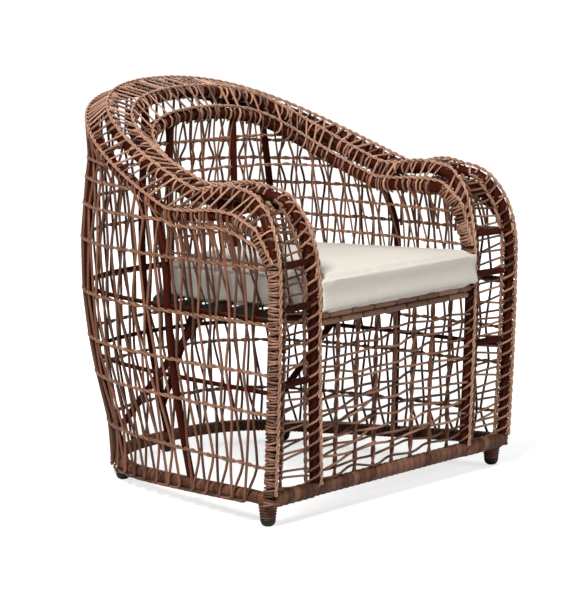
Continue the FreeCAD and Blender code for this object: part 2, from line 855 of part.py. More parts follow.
def apron_bar(label, low):
    """A rounded bar across the front, its lower face at one height."""
    body = doc.addObject("PartDesign::Body", label)
    sketch = body.newObject("Sketcher::SketchObject", label + "_profile")
    sketch.AttachmentSupport = [(plane_of(body, "YZ_Plane"), "")]
    sketch.MapMode = "FlatFace"
    depth = size("apron_bar_depth")
    rise = size("apron_bar_height")
    low_corners = [Vector(-depth / 2, 0, 0), Vector(depth / 2, 0, 0)]
    corners = low_corners + [Vector(depth / 2, rise, 0), Vector(-depth / 2, rise, 0)]
    for start, end in zip(corners, corners[1:] + corners[:1]):
        sketch.addGeometry(Part.LineSegment(start, end))
    for side in range(4):
        sketch.addConstraint(Sketcher.Constraint("Coincident", side, 2, (side + 1) % 4, 1))
    sketch.addConstraint(Sketcher.Constraint("Symmetric", 0, 1, 0, 2, -2))
    sketch.addConstraint(Sketcher.Constraint("Vertical", 1))
    sketch.addConstraint(Sketcher.Constraint("Horizontal", 2))
    sketch.addConstraint(Sketcher.Constraint("Vertical", 3))
    sketch.addConstraint(Sketcher.Constraint("PointOnObject", 0, 1, -1))
    wide = sketch.addConstraint(Sketcher.Constraint("DistanceX", 0, 1, 0, 2, depth))
    high = sketch.addConstraint(Sketcher.Constraint("DistanceY", 1, 1, 1, 2, rise))
    sketch.setExpression("Constraints[%d]" % wide, "Sizes.apron_bar_depth")
    sketch.setExpression("Constraints[%d]" % high, "Sizes.apron_bar_height")
    pad = body.newObject("PartDesign::Pad", label + "_pad")
    pad.Profile = sketch
    pad.Midplane = True
    pad.setExpression("Length", "Sizes.apron_length")
    doc.recompute()
    long_edges = [
        "Edge%d" % (number + 1)
        for number, edge in enumerate(pad.Shape.Edges)
        if abs(edge.tangentAt(edge.FirstParameter).x) > 0.9
    ]
    fillet = body.newObject("PartDesign::Fillet", label + "_fillet")
    fillet.Base = (pad, long_edges)
    fillet.setExpression("Radius", "Sizes.apron_bar_round")
    body.Tip = fillet
    body.Placement = FreeCAD.Placement(Vector(0, size("apron_front") + FRONT_LINE, low), FreeCAD.Rotation())
    body.Label = label
    sub_parts.append(body)


apron_bar("apron_lower_bar", apron_low)
apron_bar("apron_upper_bar", apron_low + size("apron_bar_height") + GAP)

# Front panel: upright stakes from the apron to the front base rail, and rows in front of them
panel_y = size("apron_front") + FRONT_LINE
panel_half = at_height(inner_post, size("base_height"))[0].x
panel_total = count("panel_stake_count")
base_front_point = at_height(inner_post, size("base_height"))[0]
base_front_run = Vector(1, 0, 0)
panel_paths = []
for index in range(panel_total):
    across = panel_half * (1 - 2 * (index + 1) / (panel_total + 1))
    low = Vector(across, base_front_point.y, base_front_point.z)
    high = Vector(across, panel_y, apron_low - GAP)
    low_end = seated(high, low, STRAND, base_front_point, base_front_run, RAIL)
    panel_paths.append([low_end, high])
strand_group("front_panel_stakes", panel_paths)


def panel_row(height):
    """One row across the front panel, its flat side on those of the stakes, seated on the inner posts."""
    share = (height - base_front_point.z) / (apron_low - base_front_point.z)
    flat = STRAND * math.cos(math.pi / STRAND_SIDES)
    y = base_front_point.y + (panel_y - base_front_point.y) * share - 2 * flat - GAP
    left, left_run = at_height(inner_post, height)
    middle = Vector(0, y, height)
    end = seated(middle, Vector(left.x, y, height), STRAND, left, left_run, RAIL)
    return [end, Vector(-end.x, y, height)]


panel_rows = [
    panel_row(size("panel_row_low") + index * size("panel_row_pitch"))
    for index in range(count("panel_row_count"))
]
strand_group("front_panel_weavers", panel_rows)

# Feet: a wrapped stub under each corner of the frame, with a glide to stand on
keep("glide_inner_radius", size("glide_radius") - size("glide_chamfer"))
doc.recompute()


def turned(name, profile):
    """A round piece turned about Z: its profile is a list of radius and height names from the axis out."""
    body = doc.addObject("PartDesign::Body", name)
    sketch = body.newObject("Sketcher::SketchObject", name + "_profile")
    sketch.AttachmentSupport = [(plane_of(body, "XZ_Plane"), "")]
    sketch.MapMode = "FlatFace"
    corners = [Vector(size(r) if r else 0, size(z) if z else 0, 0) for r, z in profile]
    total = len(corners)
    for start, end in zip(corners, corners[1:] + corners[:1]):
        sketch.addGeometry(Part.LineSegment(start, end))
    for index in range(total):
        sketch.addConstraint(Sketcher.Constraint("Coincident", index, 2, (index + 1) % total, 1))
    for index, (radius, rise) in enumerate(profile):
        for axis, kind, alias in ((-2, "DistanceX", radius), (-1, "DistanceY", rise)):
            if alias:
                rule = sketch.addConstraint(Sketcher.Constraint(kind, -1, 1, index, 1, size(alias)))
                sketch.setExpression("Constraints[%d]" % rule, "Sizes." + alias)
            else:
                sketch.addConstraint(Sketcher.Constraint("PointOnObject", index, 1, axis))
    turn = body.newObject("PartDesign::Revolution", name + "_turn")
    turn.Profile = sketch
    turn.ReferenceAxis = (sketch, ["V_Axis"])
    turn.Angle = 360
    body.Tip = turn
    doc.recompute()
    return body


def copies(label, body, places):
    """Like pieces at several places as one sub-part of separate solids."""
    group = doc.addObject("Part::Feature", label)
    solids = []
    for place in places:
        solid = body.Shape.copy()
        solid.Placement = FreeCAD.Placement(place, FreeCAD.Rotation())
        solids.append(solid)
    group.Shape = Part.makeCompound(solids)
    group.Placement = FreeCAD.Placement()
    group.Label = label
    sub_parts.append(group)


glide = turned("glide_master", [
    ("", ""),
    ("glide_inner_radius", ""),
    ("glide_radius", "glide_chamfer"),
    ("glide_radius", "glide_height"),
    ("", "glide_height"),
])


def stub_top(place):
    """Height of the top of a stub: under the lowest part of the base rail that crosses it."""
    near = [point for point in dense_base if (point - place).Length < size("stub_top_radius")]
    return min(point.z for point in near) - RAIL - GAP


dense_base = [along(base_ring, step / DENSE_STEPS)[0] for step in range(DENSE_STEPS + 1)]
foot_tops = [Vector(-size("front_foot_x"), size("front_foot_front") + FRONT_LINE, size("base_height"))]
foot_tops += [along(base_ring, stake_shares[post])[0] for post in (rear_post, centre_post)]
foot_tops += mirrored(foot_tops[:2])
stubs = []
for place in foot_tops:
    low = Vector(place.x, place.y, size("glide_height"))
    stubs.append([low, Vector(place.x, place.y, stub_top(place))])
copies("foot_glides", glide, [Vector(place.x, place.y, 0) for place in foot_tops])
bent_group("foot_stubs", stubs, size("stub_low_radius"), TUBE_SIDES, size("stub_top_radius"))

# Cushion: a box cushion lofted through four outlines, with drawn-in sides and a crown
CUSHION_LAYERS = (
    # name, height share of the thickness, width share
    ("bottom", 0.0, 1.0),
    ("waist", 0.5, 0.985),
    ("top", 1.0, 1.0),
    ("crown", 1.0, 0.55),
)


def diagonal_reach(points):
    """How far a ring reaches towards its rear corners, across plus back from the line of the front feet."""
    return max(abs(point.x) + point.y - FRONT_LINE for point in points)


# The cushion fits inside the inner wall, both at the seat frame and at the height of its own top
wall_rise = along(inner_edge_ring, 0.5)[0].z - along(seat_ring, 0.5)[0].z
top_share = (RAIL + size("cushion_thickness") + size("cushion_crown")) / wall_rise
wall_at_top = [low + (high - low) * top_share for low, high in zip(seat_ring, inner_edge_ring)]
wall_depth = min(along(ring_points, 0.5)[0].y for ring_points in (seat_ring, wall_at_top)) - FRONT_LINE
wall_half = min(size("seat_half_width"), size("inner_edge_half_width")) - STRAND
cushion_half = min(size("inner_post_belly_x") - RAIL, wall_half) - size("cushion_side_clearance")
cushion_back = wall_depth - 2 * POST + STRAND - size("cushion_back_clearance")
corner_reach = min(diagonal_reach(seat_ring), diagonal_reach(wall_at_top))
corner_room = corner_reach - math.sqrt(2) * size("cushion_corner_clearance")
CORNER_SLACK = 1 - math.sqrt(0.5)
CORNER_CHORDS = 5
cushion_corner = (cushion_half + cushion_back - corner_room) / (2 * CORNER_SLACK)


def cushion_outline(share):
    """Edges of the cushion in plan, narrowed about its middle."""
    nose_half = cushion_half + size("cushion_ear_width")
    ear_round = size("cushion_ear_round")
    corner_x = cushion_half - cushion_corner
    corner_y = cushion_back - cushion_corner
    middle = Vector(0, (NOSE + cushion_back) / 2, 0)

    def at(x, y):
        return middle + (Vector(x, y, 0) - middle) * share

    right = [
        at(0, NOSE - size("cushion_nose_bow")),
        at(nose_half - ear_round, NOSE),
        at(nose_half, NOSE + ear_round),
        at(nose_half, EAR_BACK),
        at(cushion_half, EAR_BACK),
        at(cushion_half - size("cushion_drawn_in"), (EAR_BACK + corner_y) / 2),
    ]
    for step in range(CORNER_CHORDS + 1):
        turn = math.pi / 2 * step / CORNER_CHORDS
        across = corner_x + cushion_corner * math.cos(turn)
        right.append(at(across, corner_y + cushion_corner * math.sin(turn)))
    outline = right + mirrored(right[:0:-1])
    return [Part.LineSegment(start, end) for start, end in zip(outline, outline[1:] + outline[:1])]


cushion = doc.addObject("PartDesign::Body", "seat_cushion")
layers = []
for name, share, width in CUSHION_LAYERS:
    layer = cushion.newObject("Sketcher::SketchObject", "cushion_" + name)
    layer.AttachmentSupport = [(plane_of(cushion, "XY_Plane"), "")]
    layer.MapMode = "FlatFace"
    crown = " + Sizes.cushion_crown" if name == "crown" else ""
    layer.setExpression("AttachmentOffset.Base.z", "Sizes.cushion_thickness * %g%s" % (share, crown))
    for edge in cushion_outline(width):
        number = layer.addGeometry(edge)
        layer.addConstraint(Sketcher.Constraint("Block", number))
    layers.append(layer)
loft = cushion.newObject("PartDesign::AdditiveLoft", "cushion_loft")
loft.Profile = layers[0]
loft.Sections = layers[1:]
loft.Ruled = True
cushion.Tip = loft
pivot = Vector(0, size("apron_front"), 0)
rest = Vector(0, size("apron_front") + FRONT_LINE, cushion_foot)
cushion.Placement = FreeCAD.Placement(rest - slope.multVec(pivot), slope)
cushion.Label = "seat_cushion"
sub_parts.append(cushion)

doc.recompute()
for item in doc.Objects:
    if "Invalid" in item.State or "Error" in item.State:
        raise RuntimeError("%s did not build: %s" % (item.Label, item.State))
for piece in sub_parts:
    if piece.Shape.isNull() or not piece.Shape.isValid():
        raise RuntimeError("%s has no valid shape" % piece.Label)

os.makedirs("parts", exist_ok=True)
for piece in sub_parts:
    piece.Shape.exportStep("parts/%s.step" % piece.Label)
print("%d sub-parts, %d solids" % (len(sub_parts), sum(len(piece.Shape.Solids) for piece in sub_parts)))
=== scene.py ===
import bisect
import math
import random

import bmesh
import bpy
from mathutils import Matrix, Vector, noise
from mathutils.geometry import interpolate_bezier


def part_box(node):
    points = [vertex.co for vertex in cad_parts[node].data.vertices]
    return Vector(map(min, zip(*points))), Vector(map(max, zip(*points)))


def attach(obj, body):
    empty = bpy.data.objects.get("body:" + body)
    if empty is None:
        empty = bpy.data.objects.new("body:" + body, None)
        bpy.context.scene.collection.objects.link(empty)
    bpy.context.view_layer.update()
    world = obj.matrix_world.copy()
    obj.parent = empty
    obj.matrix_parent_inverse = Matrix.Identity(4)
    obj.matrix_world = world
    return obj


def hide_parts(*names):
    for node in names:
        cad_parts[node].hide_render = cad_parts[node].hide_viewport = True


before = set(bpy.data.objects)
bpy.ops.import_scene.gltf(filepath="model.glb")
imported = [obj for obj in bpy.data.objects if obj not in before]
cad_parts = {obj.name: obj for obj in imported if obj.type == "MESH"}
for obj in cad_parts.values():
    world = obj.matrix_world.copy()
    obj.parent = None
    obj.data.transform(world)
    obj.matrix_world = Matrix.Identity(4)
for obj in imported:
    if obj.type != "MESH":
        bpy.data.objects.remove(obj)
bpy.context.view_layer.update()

# Base ring
# Three lengths of rattan pole bent into a horseshoe, with a straight pole across the front and a short
# one under each arm front. All are wrapped round and round with strips of rattan peel.


class Line:
    """A line of the chair that can be walked along, such as the middle of a rail or post."""

    def __init__(self, points):
        self.points = points
        self.lengths = [0.0]
        for before, after in zip(points, points[1:]):
            self.lengths.append(self.lengths[-1] + (after - before).length)
        self.length = self.lengths[-1]

    def point(self, share):
        """The point at one share of the length; past its ends the line runs on straight."""
        wanted = share * self.length
        low = held(bisect.bisect_right(self.lengths, wanted) - 1, 0, len(self.points) - 2)
        part = (wanted - self.lengths[low]) / (self.lengths[low + 1] - self.lengths[low])
        return self.points[low].lerp(self.points[low + 1], part)

    def run(self, share):
        """Direction along the line."""
        step = 0.002
        return (self.point(share + step) - self.point(share - step)).normalized()

    def outward(self, share):
        """Level direction away from the sitter: square to a rail, and straight sideways from a post."""
        steep = 0.7
        run = self.run(share)
        if abs(run.z) > steep:
            return Vector((math.copysign(1, self.point(share).x), 0, 0))
        return Vector((-run.y, run.x, 0)).normalized()

    def upward(self, share):
        """Direction off the line towards the eye: up from a rail, and forwards from a post."""
        return self.run(share).cross(self.outward(share)).normalized()

    def stretch(self, first, last, count):
        """Points from one share to another."""
        return [self.point(first + (last - first) * step / count) for step in range(count + 1)]


class Ring(Line):
    """A horseshoe line, from its left front end round the back to its right front end, shared out in plan.

    Each side starts at half_width and front, leans outwards by lean degrees and bends round to the back at
    depth. full_front and full_back say how far the bend holds off at its two ends."""

    def __init__(self, half_width, front, lean, full_front, depth, full_back, height):
        side_points = 121
        lean = math.radians(lean)
        start = Vector((-half_width, front_line + front, 0))
        end = Vector((0, front_line + depth, 0))
        start_pull = start + Vector((-math.sin(lean), math.cos(lean), 0)) * full_front
        end_pull = end - Vector((full_back, 0, 0))
        left = interpolate_bezier(start, start_pull, end_pull, end, side_points)
        super().__init__(left + mirrored(left[-2::-1]))
        last = side_points - 1
        for order, point in enumerate(self.points):
            point.z = height(min(order, 2 * last - order) / last, point)


def held(value, low, high):
    """A value, kept between two others."""
    return min(max(value, low), high)


def mirrored(points):
    """The same points on the other side of the chair."""
    return [Vector((-point.x, point.y, point.z)) for point in points]


def placed(name, data):
    """A new object of the scene."""
    thing = bpy.data.objects.new(name, data)
    bpy.context.scene.collection.objects.link(thing)
    return thing


def rods(name, paths, radius, widths=None, fine=2, corners=2, bend=1 / 6):
    """Round rods along smooth paths, as one mesh. widths thickens each path from point to point, fine and
    corners are the steps along and round it, and a small bend keeps the runs between the points straight."""
    curve = bpy.data.curves.new(name, "CURVE")
    curve.dimensions = "3D"
    curve.bevel_depth = radius
    curve.bevel_resolution = corners
    curve.resolution_u = fine
    curve.use_fill_caps = True
    for number, path in enumerate(paths):
        spline = curve.splines.new("BEZIER")
        spline.bezier_points.add(len(path) - 1)
        for order, knot in enumerate(spline.bezier_points):
            reach = (path[min(order + 1, len(path) - 1)] - path[max(order - 1, 0)]) * bend
            knot.co = path[order]
            knot.handle_left = path[order] - reach
            knot.handle_right = path[order] + reach
            if widths:
                knot.radius = widths[number][order]
    holder = placed(name + "_lines", curve)
    mesh = bpy.data.meshes.new_from_object(holder.evaluated_get(bpy.context.evaluated_depsgraph_get()))
    bpy.data.objects.remove(holder)
    mesh.shade_smooth()
    return mesh


def fit(name, mesh, finish, nodes, body="frame"):
    """Put a finished mesh on the chair: its material, the body it rides on and the nodes it stands for."""
    piece = placed(name, mesh)
    mesh.materials.append(finish)
    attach(piece, body)
    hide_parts(*nodes)
    return piece


class Value:
    """One output of a material's nodes, with arithmetic."""

    def __init__(self, finish, socket):
        self.finish = finish
        self.socket = socket

    def maths(self, operation, other):
        return self.finish.add("ShaderNodeMath", {"operation": operation}, {0: self, 1: other})

    def __add__(self, other):
        return self.maths("ADD", other)

    def __mul__(self, other):
        return self.maths("MULTIPLY", other)


class Finish:
    """A material, or the studio's surround, whose nodes are added one by one round its shader."""

    def __init__(self, name, kinds=bpy.data.materials, shader="Principled BSDF"):
        self.material = kinds.new(name)
        self.material.use_nodes = True
        self.tree = self.material.node_tree
        self.shader = self.tree.nodes[shader]

    def feed(self, socket, value):
        if isinstance(value, Value):
            self.tree.links.new(value.socket, socket)
        else:
            socket.default_value = value

    def add(self, kind, settings, sockets, output=0):
        """One node: its settings first, then the values or links of its sockets."""
        node = self.tree.nodes.new(kind)
        for name, value in settings.items():
            setattr(node, name, value)
        for name, value in sockets.items():
            self.feed(node.inputs[name], value)
        return Value(self, node.outputs[output])

    def surface(self, sockets):
        """Set or link sockets of the shader."""
        for name, value in sockets.items():
            self.feed(self.shader.inputs[name], value)

    def mix(self, factor, first, second, blend="MIX"):
        """A colour between two colours, or another blend of them."""
        settings = {"data_type": "RGBA", "blend_type": blend}
        return self.add("ShaderNodeMix", settings, {"Factor": factor, 6: first, 7: second}, 2)

    def place(self):
        """Object coordinates."""
        return self.add("ShaderNodeTexCoord", {}, {}, "Object")

    def noise(self, scale, detail=3.0):
        """Soft noise in object space, from 0 to 1."""
        sockets = {"Vector": self.place(), "Scale": scale, "Detail": detail}
        return self.add("ShaderNodeTexNoise", {}, sockets, "Fac")

    def bump(self, strength, distance, height):
        """Surface directions of a fine relief."""
        sockets = {"Strength": strength, "Distance": distance, "Height": height}
        return self.add("ShaderNodeBump", {}, sockets, "Normal")


def grey(level):
    """A colour without hue."""
    return (level, level, level, 1)


def rattan(name, dark, light, own_share, rough, gloss=0.4):
    """Stained rattan: each strand has a tone of its own, with soft blotches and a fine dark grain."""
    blotch_scale = 28.0
    grain_scale = 420.0
    grain_detail = 2.0
    grain_depth = 0.45
    grain_tint = (0.35, 0.27, 0.24, 1)
    tone_reach = 1.1
    tone_shift = -0.05
    rough_spread = 0.2
    finish = Finish(name)
    blotch = finish.noise(blotch_scale)
    grain = finish.noise(grain_scale, grain_detail)
    own_tone = finish.add("ShaderNodeNewGeometry", {}, {}, "Random Per Island")
    tone = own_tone * own_share + blotch * (tone_reach - own_share) + tone_shift
    stained = finish.mix(tone, (*dark, 1), (*light, 1))
    shade = finish.mix(grain * grain_depth, grey(1), grain_tint)
    finish.surface({
        "Base Color": finish.mix(1.0, stained, shade, "MULTIPLY"),
        "Roughness": blotch * rough_spread + rough,
        "Normal": finish.bump(0.25, 0.0008, grain),
        "Specular IOR Level": gloss,
    })
    return finish.material


glide_radius = 0.0145
front_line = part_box("foot_glides")[0].y + glide_radius
base_height = 0.052
rail_radius = 0.010


def base_level(part, point):
    """Height of the base ring: level under the arm fronts, then lower towards the rear feet."""
    fall = 0.020
    fall_start = 0.030
    fall_length = 0.380
    return base_height - fall * held((point.y - front_line - fall_start) / fall_length, 0, 1)


base = Ring(0.356, -0.016, -10, 0.440, 0.588, 0.285, base_level)

strip_wrap = rattan("strip_wrap", (0.036, 0.009, 0.004), (0.24, 0.096, 0.050), 0.75, 0.40, 0.25)
pale_wrap = rattan("pale_wrap", (0.055, 0.017, 0.008), (0.29, 0.138, 0.081), 0.7, 0.40, 0.25)


def wrapped(path, pitch, groove):
    """A winding of flat strips round a pole: a path for each turn, and widths that thin at its edges."""
    edge = 1 - groove
    shoulder = 1 - groove / 4
    turn_widths = [edge, shoulder, 1, shoulder, edge]
    steps = len(turn_widths) - 1
    line = Line(path)
    turns = max(2, round(line.length / pitch))
    paths = [line.stretch(turn / turns, (turn + 1) / turns, steps) for turn in range(turns)]
    return paths, [turn_widths] * turns


wrap_radius = 0.0128
front_wrap_radius = 0.0148
arm_wrap_radius = 0.0160
side_wrap_pitch = 0.008
side_groove = 0.14
front_wrap_pitch = 0.017
front_groove = 0.16
strip_slant = 0.4
post_spread = 0.230
rear_foot_share = 0.3214
base_lengths = {
    "base_rail_left": base.stretch(0, rear_foot_share, 40),
    "base_rail_back": base.stretch(rear_foot_share, 1 - rear_foot_share, 44),
    "base_rail_right": base.stretch(1 - rear_foot_share, 1, 40),
}
for name, path in base_lengths.items():
    paths, widths = wrapped(path, side_wrap_pitch, side_groove)
    fit(name + "_wrapped", rods(name, paths, wrap_radius, widths, 1, 4), strip_wrap, [name])

inner_front = front_line - 0.015
front_corner = Vector((-post_spread, inner_front, base_height))
outer_corner = base.point(0)
front_lengths = {
    "base_rail_front": [front_corner, mirrored([front_corner])[0]],
    "arm_base_left": [outer_corner, front_corner],
    "arm_base_right": mirrored([front_corner, outer_corner]),
}
slant = Matrix.Identity(4)
slant[0][2] = strip_slant
slant[0][3] = -strip_slant * base_height
for name, path in front_lengths.items():
    paths, widths = wrapped(path, front_wrap_pitch, front_groove)
    radius = arm_wrap_radius if name.startswith("arm") else front_wrap_radius
    mesh = rods(name, paths, radius, widths, 1, 4)
    mesh.transform(slant)
    fit(name + "_wrapped", mesh, pale_wrap, [name])

# Feet
# Five short stubs wrapped in peel stand under the base ring, each with a black plastic glide pressed into it.
# The glides are domed, so the chair stands on small round faces.


def turned(shape, profile, place):
    """Add a round piece to a bmesh: a profile of radius and height, spun about an upright axis."""
    steps = 28
    corners = [shape.verts.new((place.x + radius, place.y, height)) for radius, height in profile]
    edges = [shape.edges.new(pair) for pair in zip(corners, corners[1:])]
    bmesh.ops.spin(shape, geom=corners + edges, cent=(place.x, place.y, 0), axis=(0, 0, 1),
                   angle=2 * math.pi, steps=steps, use_merge=True)


def finished(shape, name, seam=0.00002):
    """A bmesh as a smooth mesh with closed seams and faces that point outwards."""
    bmesh.ops.remove_doubles(shape, verts=shape.verts, dist=seam)
    bmesh.ops.recalc_face_normals(shape, faces=shape.faces)
    mesh = bpy.data.meshes.new(name)
    shape.to_mesh(mesh)
    shape.free()
    mesh.shade_smooth()
    return mesh


glide_height = 0.014
front_foot = Vector((-0.345, front_line, base_height))
foot_places = [front_foot] + mirrored([front_foot])
foot_places += [base.point(share) for share in (rear_foot_share, 0.5, 1 - rear_foot_share)]

glide_black = Finish("glide_black")
scuff = glide_black.noise(160.0)
glide_black.surface({
    "Base Color": glide_black.mix(scuff, grey(0.002), (0.010, 0.009, 0.009, 1)),
    "Roughness": scuff * 0.3 + 0.35,
})
glide_profile = [
    (0, 0), (0.0072, 0), (0.0108, 0.0022), (0.0132, 0.0055), (0.0143, 0.0092),
    (glide_radius, 0.012), (glide_radius, glide_height), (0, glide_height),
]
glides = bmesh.new()
for place in foot_places:
    turned(glides, glide_profile, place)
glide_mesh = finished(glides, "foot_glides_domed")
fit("foot_glides_domed", glide_mesh, glide_black.material, ["foot_glides"])

stub_wrap_pitch = 0.0055
stub_groove = 0.13
stub_radius = 0.0185
stub_taper = 0.2
stub_paths = []
stub_widths = []
for place in foot_places:
    stub_line = [Vector((place.x, place.y, glide_height)), Vector((place.x, place.y, place.z - rail_radius))]
    paths, widths = wrapped(stub_line, stub_wrap_pitch, stub_groove)
    stub_paths += paths
    for turn, turn_widths in enumerate(widths):
        taper = 1 - stub_taper * (1 - (turn + 1) / len(widths))
        stub_widths.append([width * taper for width in turn_widths])
stub_mesh = rods("foot_stubs_wrapped", stub_paths, stub_radius, stub_widths, 1, 5)
fit("foot_stubs_wrapped", stub_mesh, pale_wrap, ["foot_stubs"])

# Rim rails and front posts
# Four bent poles run round the top of the chair, two high ones and a lower one on each side of them.
# The two high poles roll over at the front and come down to the base as the posts of the arm fronts.


def rim_height(dip, crest, rise, hump):
    """Height of a rim rail: level along the arm, a small hump near the front, then up to the crest."""
    hump_part = 0.05
    hump_spread = 0.08

    def height(part, point):
        climb = held((part - rise) / (1 - rise), 0, 1)
        swell = held((part - hump_part) / hump_spread, -1, 1)
        lift = (crest - dip) * math.sin(math.pi / 2 * climb)
        return dip + lift + hump * 0.5 * (1 + math.cos(math.pi * swell))
    return height


belly_height = 0.450
belly = Ring(0.357, -0.030, 1.5, 0.480, 0.660, 0.325, lambda part, point: belly_height)
outer_edge = Ring(0.353, 0.060, 2, 0.368, 0.645, 0.275, rim_height(0.563, 0.750, 0.175, 0.006))
outer_top = Ring(0.325, 0.060, 1, 0.355, 0.603, 0.268, rim_height(0.595, 0.765, 0.145, 0.013))
inner_top = Ring(0.265, 0.060, 1, 0.400, 0.525, 0.266, rim_height(0.598, 0.752, 0.16, 0.010))
inner_edge = Ring(0.235, 0.040, 1, 0.400, 0.487, 0.248, rim_height(0.571, 0.712, 0.17, 0.005))

dark_pole = rattan("dark_pole", (0.012, 0.0010, 0.0003), (0.092, 0.0150, 0.0060), 0.35, 0.34, 0.06)


def pole(name, paths, radius, corners=4):
    """Put round poles on the chair as one piece."""
    mesh = rods(name, paths, radius, None, 2, corners)
    fit(name + "_round", mesh, dark_pole, [name])


shaft_steps = 8
roll_steps = 12


def front_post(foot, waist, roll_height, top):
    """Points of a front post: up from its foot, out to its belly and rolled over into the rim."""
    points = []
    for step in range(shaft_steps):
        part = step / shaft_steps
        point = foot.lerp(waist, math.sin(math.pi / 2 * part))
        point.z = foot.z + (roll_height - foot.z) * part
        points.append(point)
    for step in range(roll_steps):
        turn = math.pi / 2 * step / roll_steps
        point = waist.lerp(top, 1 - math.cos(turn))
        point.z = roll_height + (top.z - roll_height) * math.sin(turn)
        points.append(point)
    return points


def at_height(points, height):
    """Point of a rising path at one height."""
    for before, after in zip(points, points[1:]):
        if height <= after.z:
            break
    return before.lerp(after, (height - before.z) / (after.z - before.z))


post_foot_height = base_height - rail_radius
outer_foot = Vector((outer_corner.x, outer_corner.y, post_foot_height))
outer_post = front_post(outer_foot, belly.point(0), belly_height, outer_top.point(0))
inner_foot = Vector((-post_spread, inner_front, post_foot_height))
inner_waist = Vector((-0.241, front_line - 0.020, 0))
inner_roll_height = 0.420
inner_post = front_post(inner_foot, inner_waist, inner_roll_height, inner_top.point(0))

arm_share = 0.229
arm_steps = 18
crest_steps = 48


def rail(names, arm, ring, radius):
    """Put one rail on the chair in three lengths: the left arm, the back and the right arm."""
    back = ring.stretch(arm_share, 1 - arm_share, crest_steps)
    for name, path in zip(names, (arm, back, mirrored(arm))):
        pole(name, [path], radius)


for label, post, top in (("outer", outer_post, outer_top), ("inner", inner_post, inner_top)):
    names = [label + part for part in ("_arm_tube_left", "_crest_tube", "_arm_tube_right")]
    rail(names, post + top.stretch(0, arm_share, arm_steps), top, rail_radius)

edge_radius = 0.0105
hoop_band_radius = 0.0118
edge_start = 0.004
bend_part = 0.62
bend_bulge = Vector((0, -0.010, 0.012))
edge_landings = {
    "outer": (outer_post, outer_edge, 0.480, edge_radius),
    "inner": (inner_post, inner_edge, 0.455, hoop_band_radius),
}
edge_paths = {}
for label, (post, edge, landing_height, radius) in edge_landings.items():
    landing = at_height(post, landing_height)
    bend = landing.lerp(edge.point(0), bend_part) + bend_bulge
    edge_paths[label] = [landing, bend] + edge.stretch(edge_start, arm_share, arm_steps)
    names = [label + part for part in ("_edge_rail_left", "_edge_rail_back", "_edge_rail_right")]
    rail(names, edge_paths[label], edge, radius)

# Rungs, wall posts, hoops and braces
# Thinner poles stiffen the frame from inside: short rungs across the arm fronts, five uprights in the outer
# wall, two hoops nailed round behind the stakes, and braces from the rear feet up to the seat.

draw_in = 1.4
seat_slope = math.tan(math.radians(2.5))


def wall(share, height):
    """Point of the outer wall: flared from the base to the belly, then drawn in to the outer edge rail."""
    if height <= belly_height:
        foot = base.point(share)
        swing = math.sin(math.pi / 2 * (height - foot.z) / (belly_height - foot.z))
        point = foot.lerp(belly.point(share), swing)
    else:
        top = outer_edge.point(share)
        climb = (height - belly_height) / (top.z - belly_height)
        point = belly.point(share).lerp(top, climb ** draw_in)
    point.z = height
    return point


def seat_level(part, point):
    """Height of the seat frame, which falls a little towards the back."""
    front_height = 0.3764
    front_reach = -0.024
    return front_height - (point.y - front_line - front_reach) * seat_slope


seat = Ring(0.238, -0.002, 0, 0.380, 0.487, 0.248, seat_level)
post_radius = 0.0075
post_inset = 0.006
post_steps = 10
mid_post_share = 0.1556
wall_posts = {
    "mid_side_post_left": mid_post_share,
    "rear_side_post_left": rear_foot_share,
    "centre_rear_post": 0.5,
    "rear_side_post_right": 1 - rear_foot_share,
    "mid_side_post_right": 1 - mid_post_share,
}
wall_post_paths = {}
for name, share in wall_posts.items():
    inset = belly.outward(share) * post_inset
    low = base.point(share).z
    rise = outer_edge.point(share).z - low
    path = [wall(share, low + rise * step / post_steps) - inset for step in range(post_steps + 1)]
    wall_post_paths[name] = path
    pole(name, [path], post_radius, 3)

rung_radius = 0.0068
rung_paths = []
for height in (0.265, 0.405, 0.485):
    rung_paths.append([at_height(outer_post, height), at_height(inner_post, height)])
rung_paths += [mirrored(path) for path in rung_paths]
pole("arm_rungs", rung_paths, rung_radius, 3)

hoop_radius = 0.0045
hoop_inset = 0.0085
hoop_shares = [step / 90 for step in range(91)]
for name, height in (("lower_hoop", 0.250), ("upper_hoop", 0.385)):
    path = [wall(share, height) - belly.outward(share) * hoop_inset for share in hoop_shares]
    pole(name, [path], hoop_radius, 2)

brace_radius = 0.0072
brace_foot_height = 0.095
brace_paths = []
for name, share in (("rear_side_post_left", 0.2), ("centre_rear_post", 0.5)):
    brace_paths.append([at_height(wall_post_paths[name], brace_foot_height), seat.point(share)])
brace_paths.append(mirrored(brace_paths[0]))
pole("rear_braces", brace_paths, brace_radius, 3)

# Seat frame and webbing
# A sloping horseshoe of pole carries the seat, closed by a straight pole near the front. Five black elastic
# straps are stretched across it and folded round the side rails, where they are stapled underneath.


def hooked(centre, out, up, reach, turns):
    """Points round a rail: turns are degrees from the outward direction, counted upwards."""
    points = []
    for turn in turns:
        angle = math.radians(turn)
        points.append(centre + (out * math.cos(angle) + up * math.sin(angle)) * reach)
    return points


upright = Vector((0, 0, 1))
leftwards = Vector((-1, 0, 0))
seat_joint_share = 0.3125
front_rail_half = 0.236
front_rail_place = front_line + 0.025
front_rail_end = Vector((-front_rail_half, front_rail_place, 0))
front_rail_end.z = seat_level(0, front_rail_end)
seat_lengths = {
    "seat_rail_left": seat.stretch(0, seat_joint_share, 24),
    "seat_rail_back": seat.stretch(seat_joint_share, 1 - seat_joint_share, 30),
    "seat_rail_right": seat.stretch(1 - seat_joint_share, 1, 24),
    "seat_rail_front": [front_rail_end] + mirrored([front_rail_end]),
}
for name, path in seat_lengths.items():
    pole(name, [path], rail_radius)

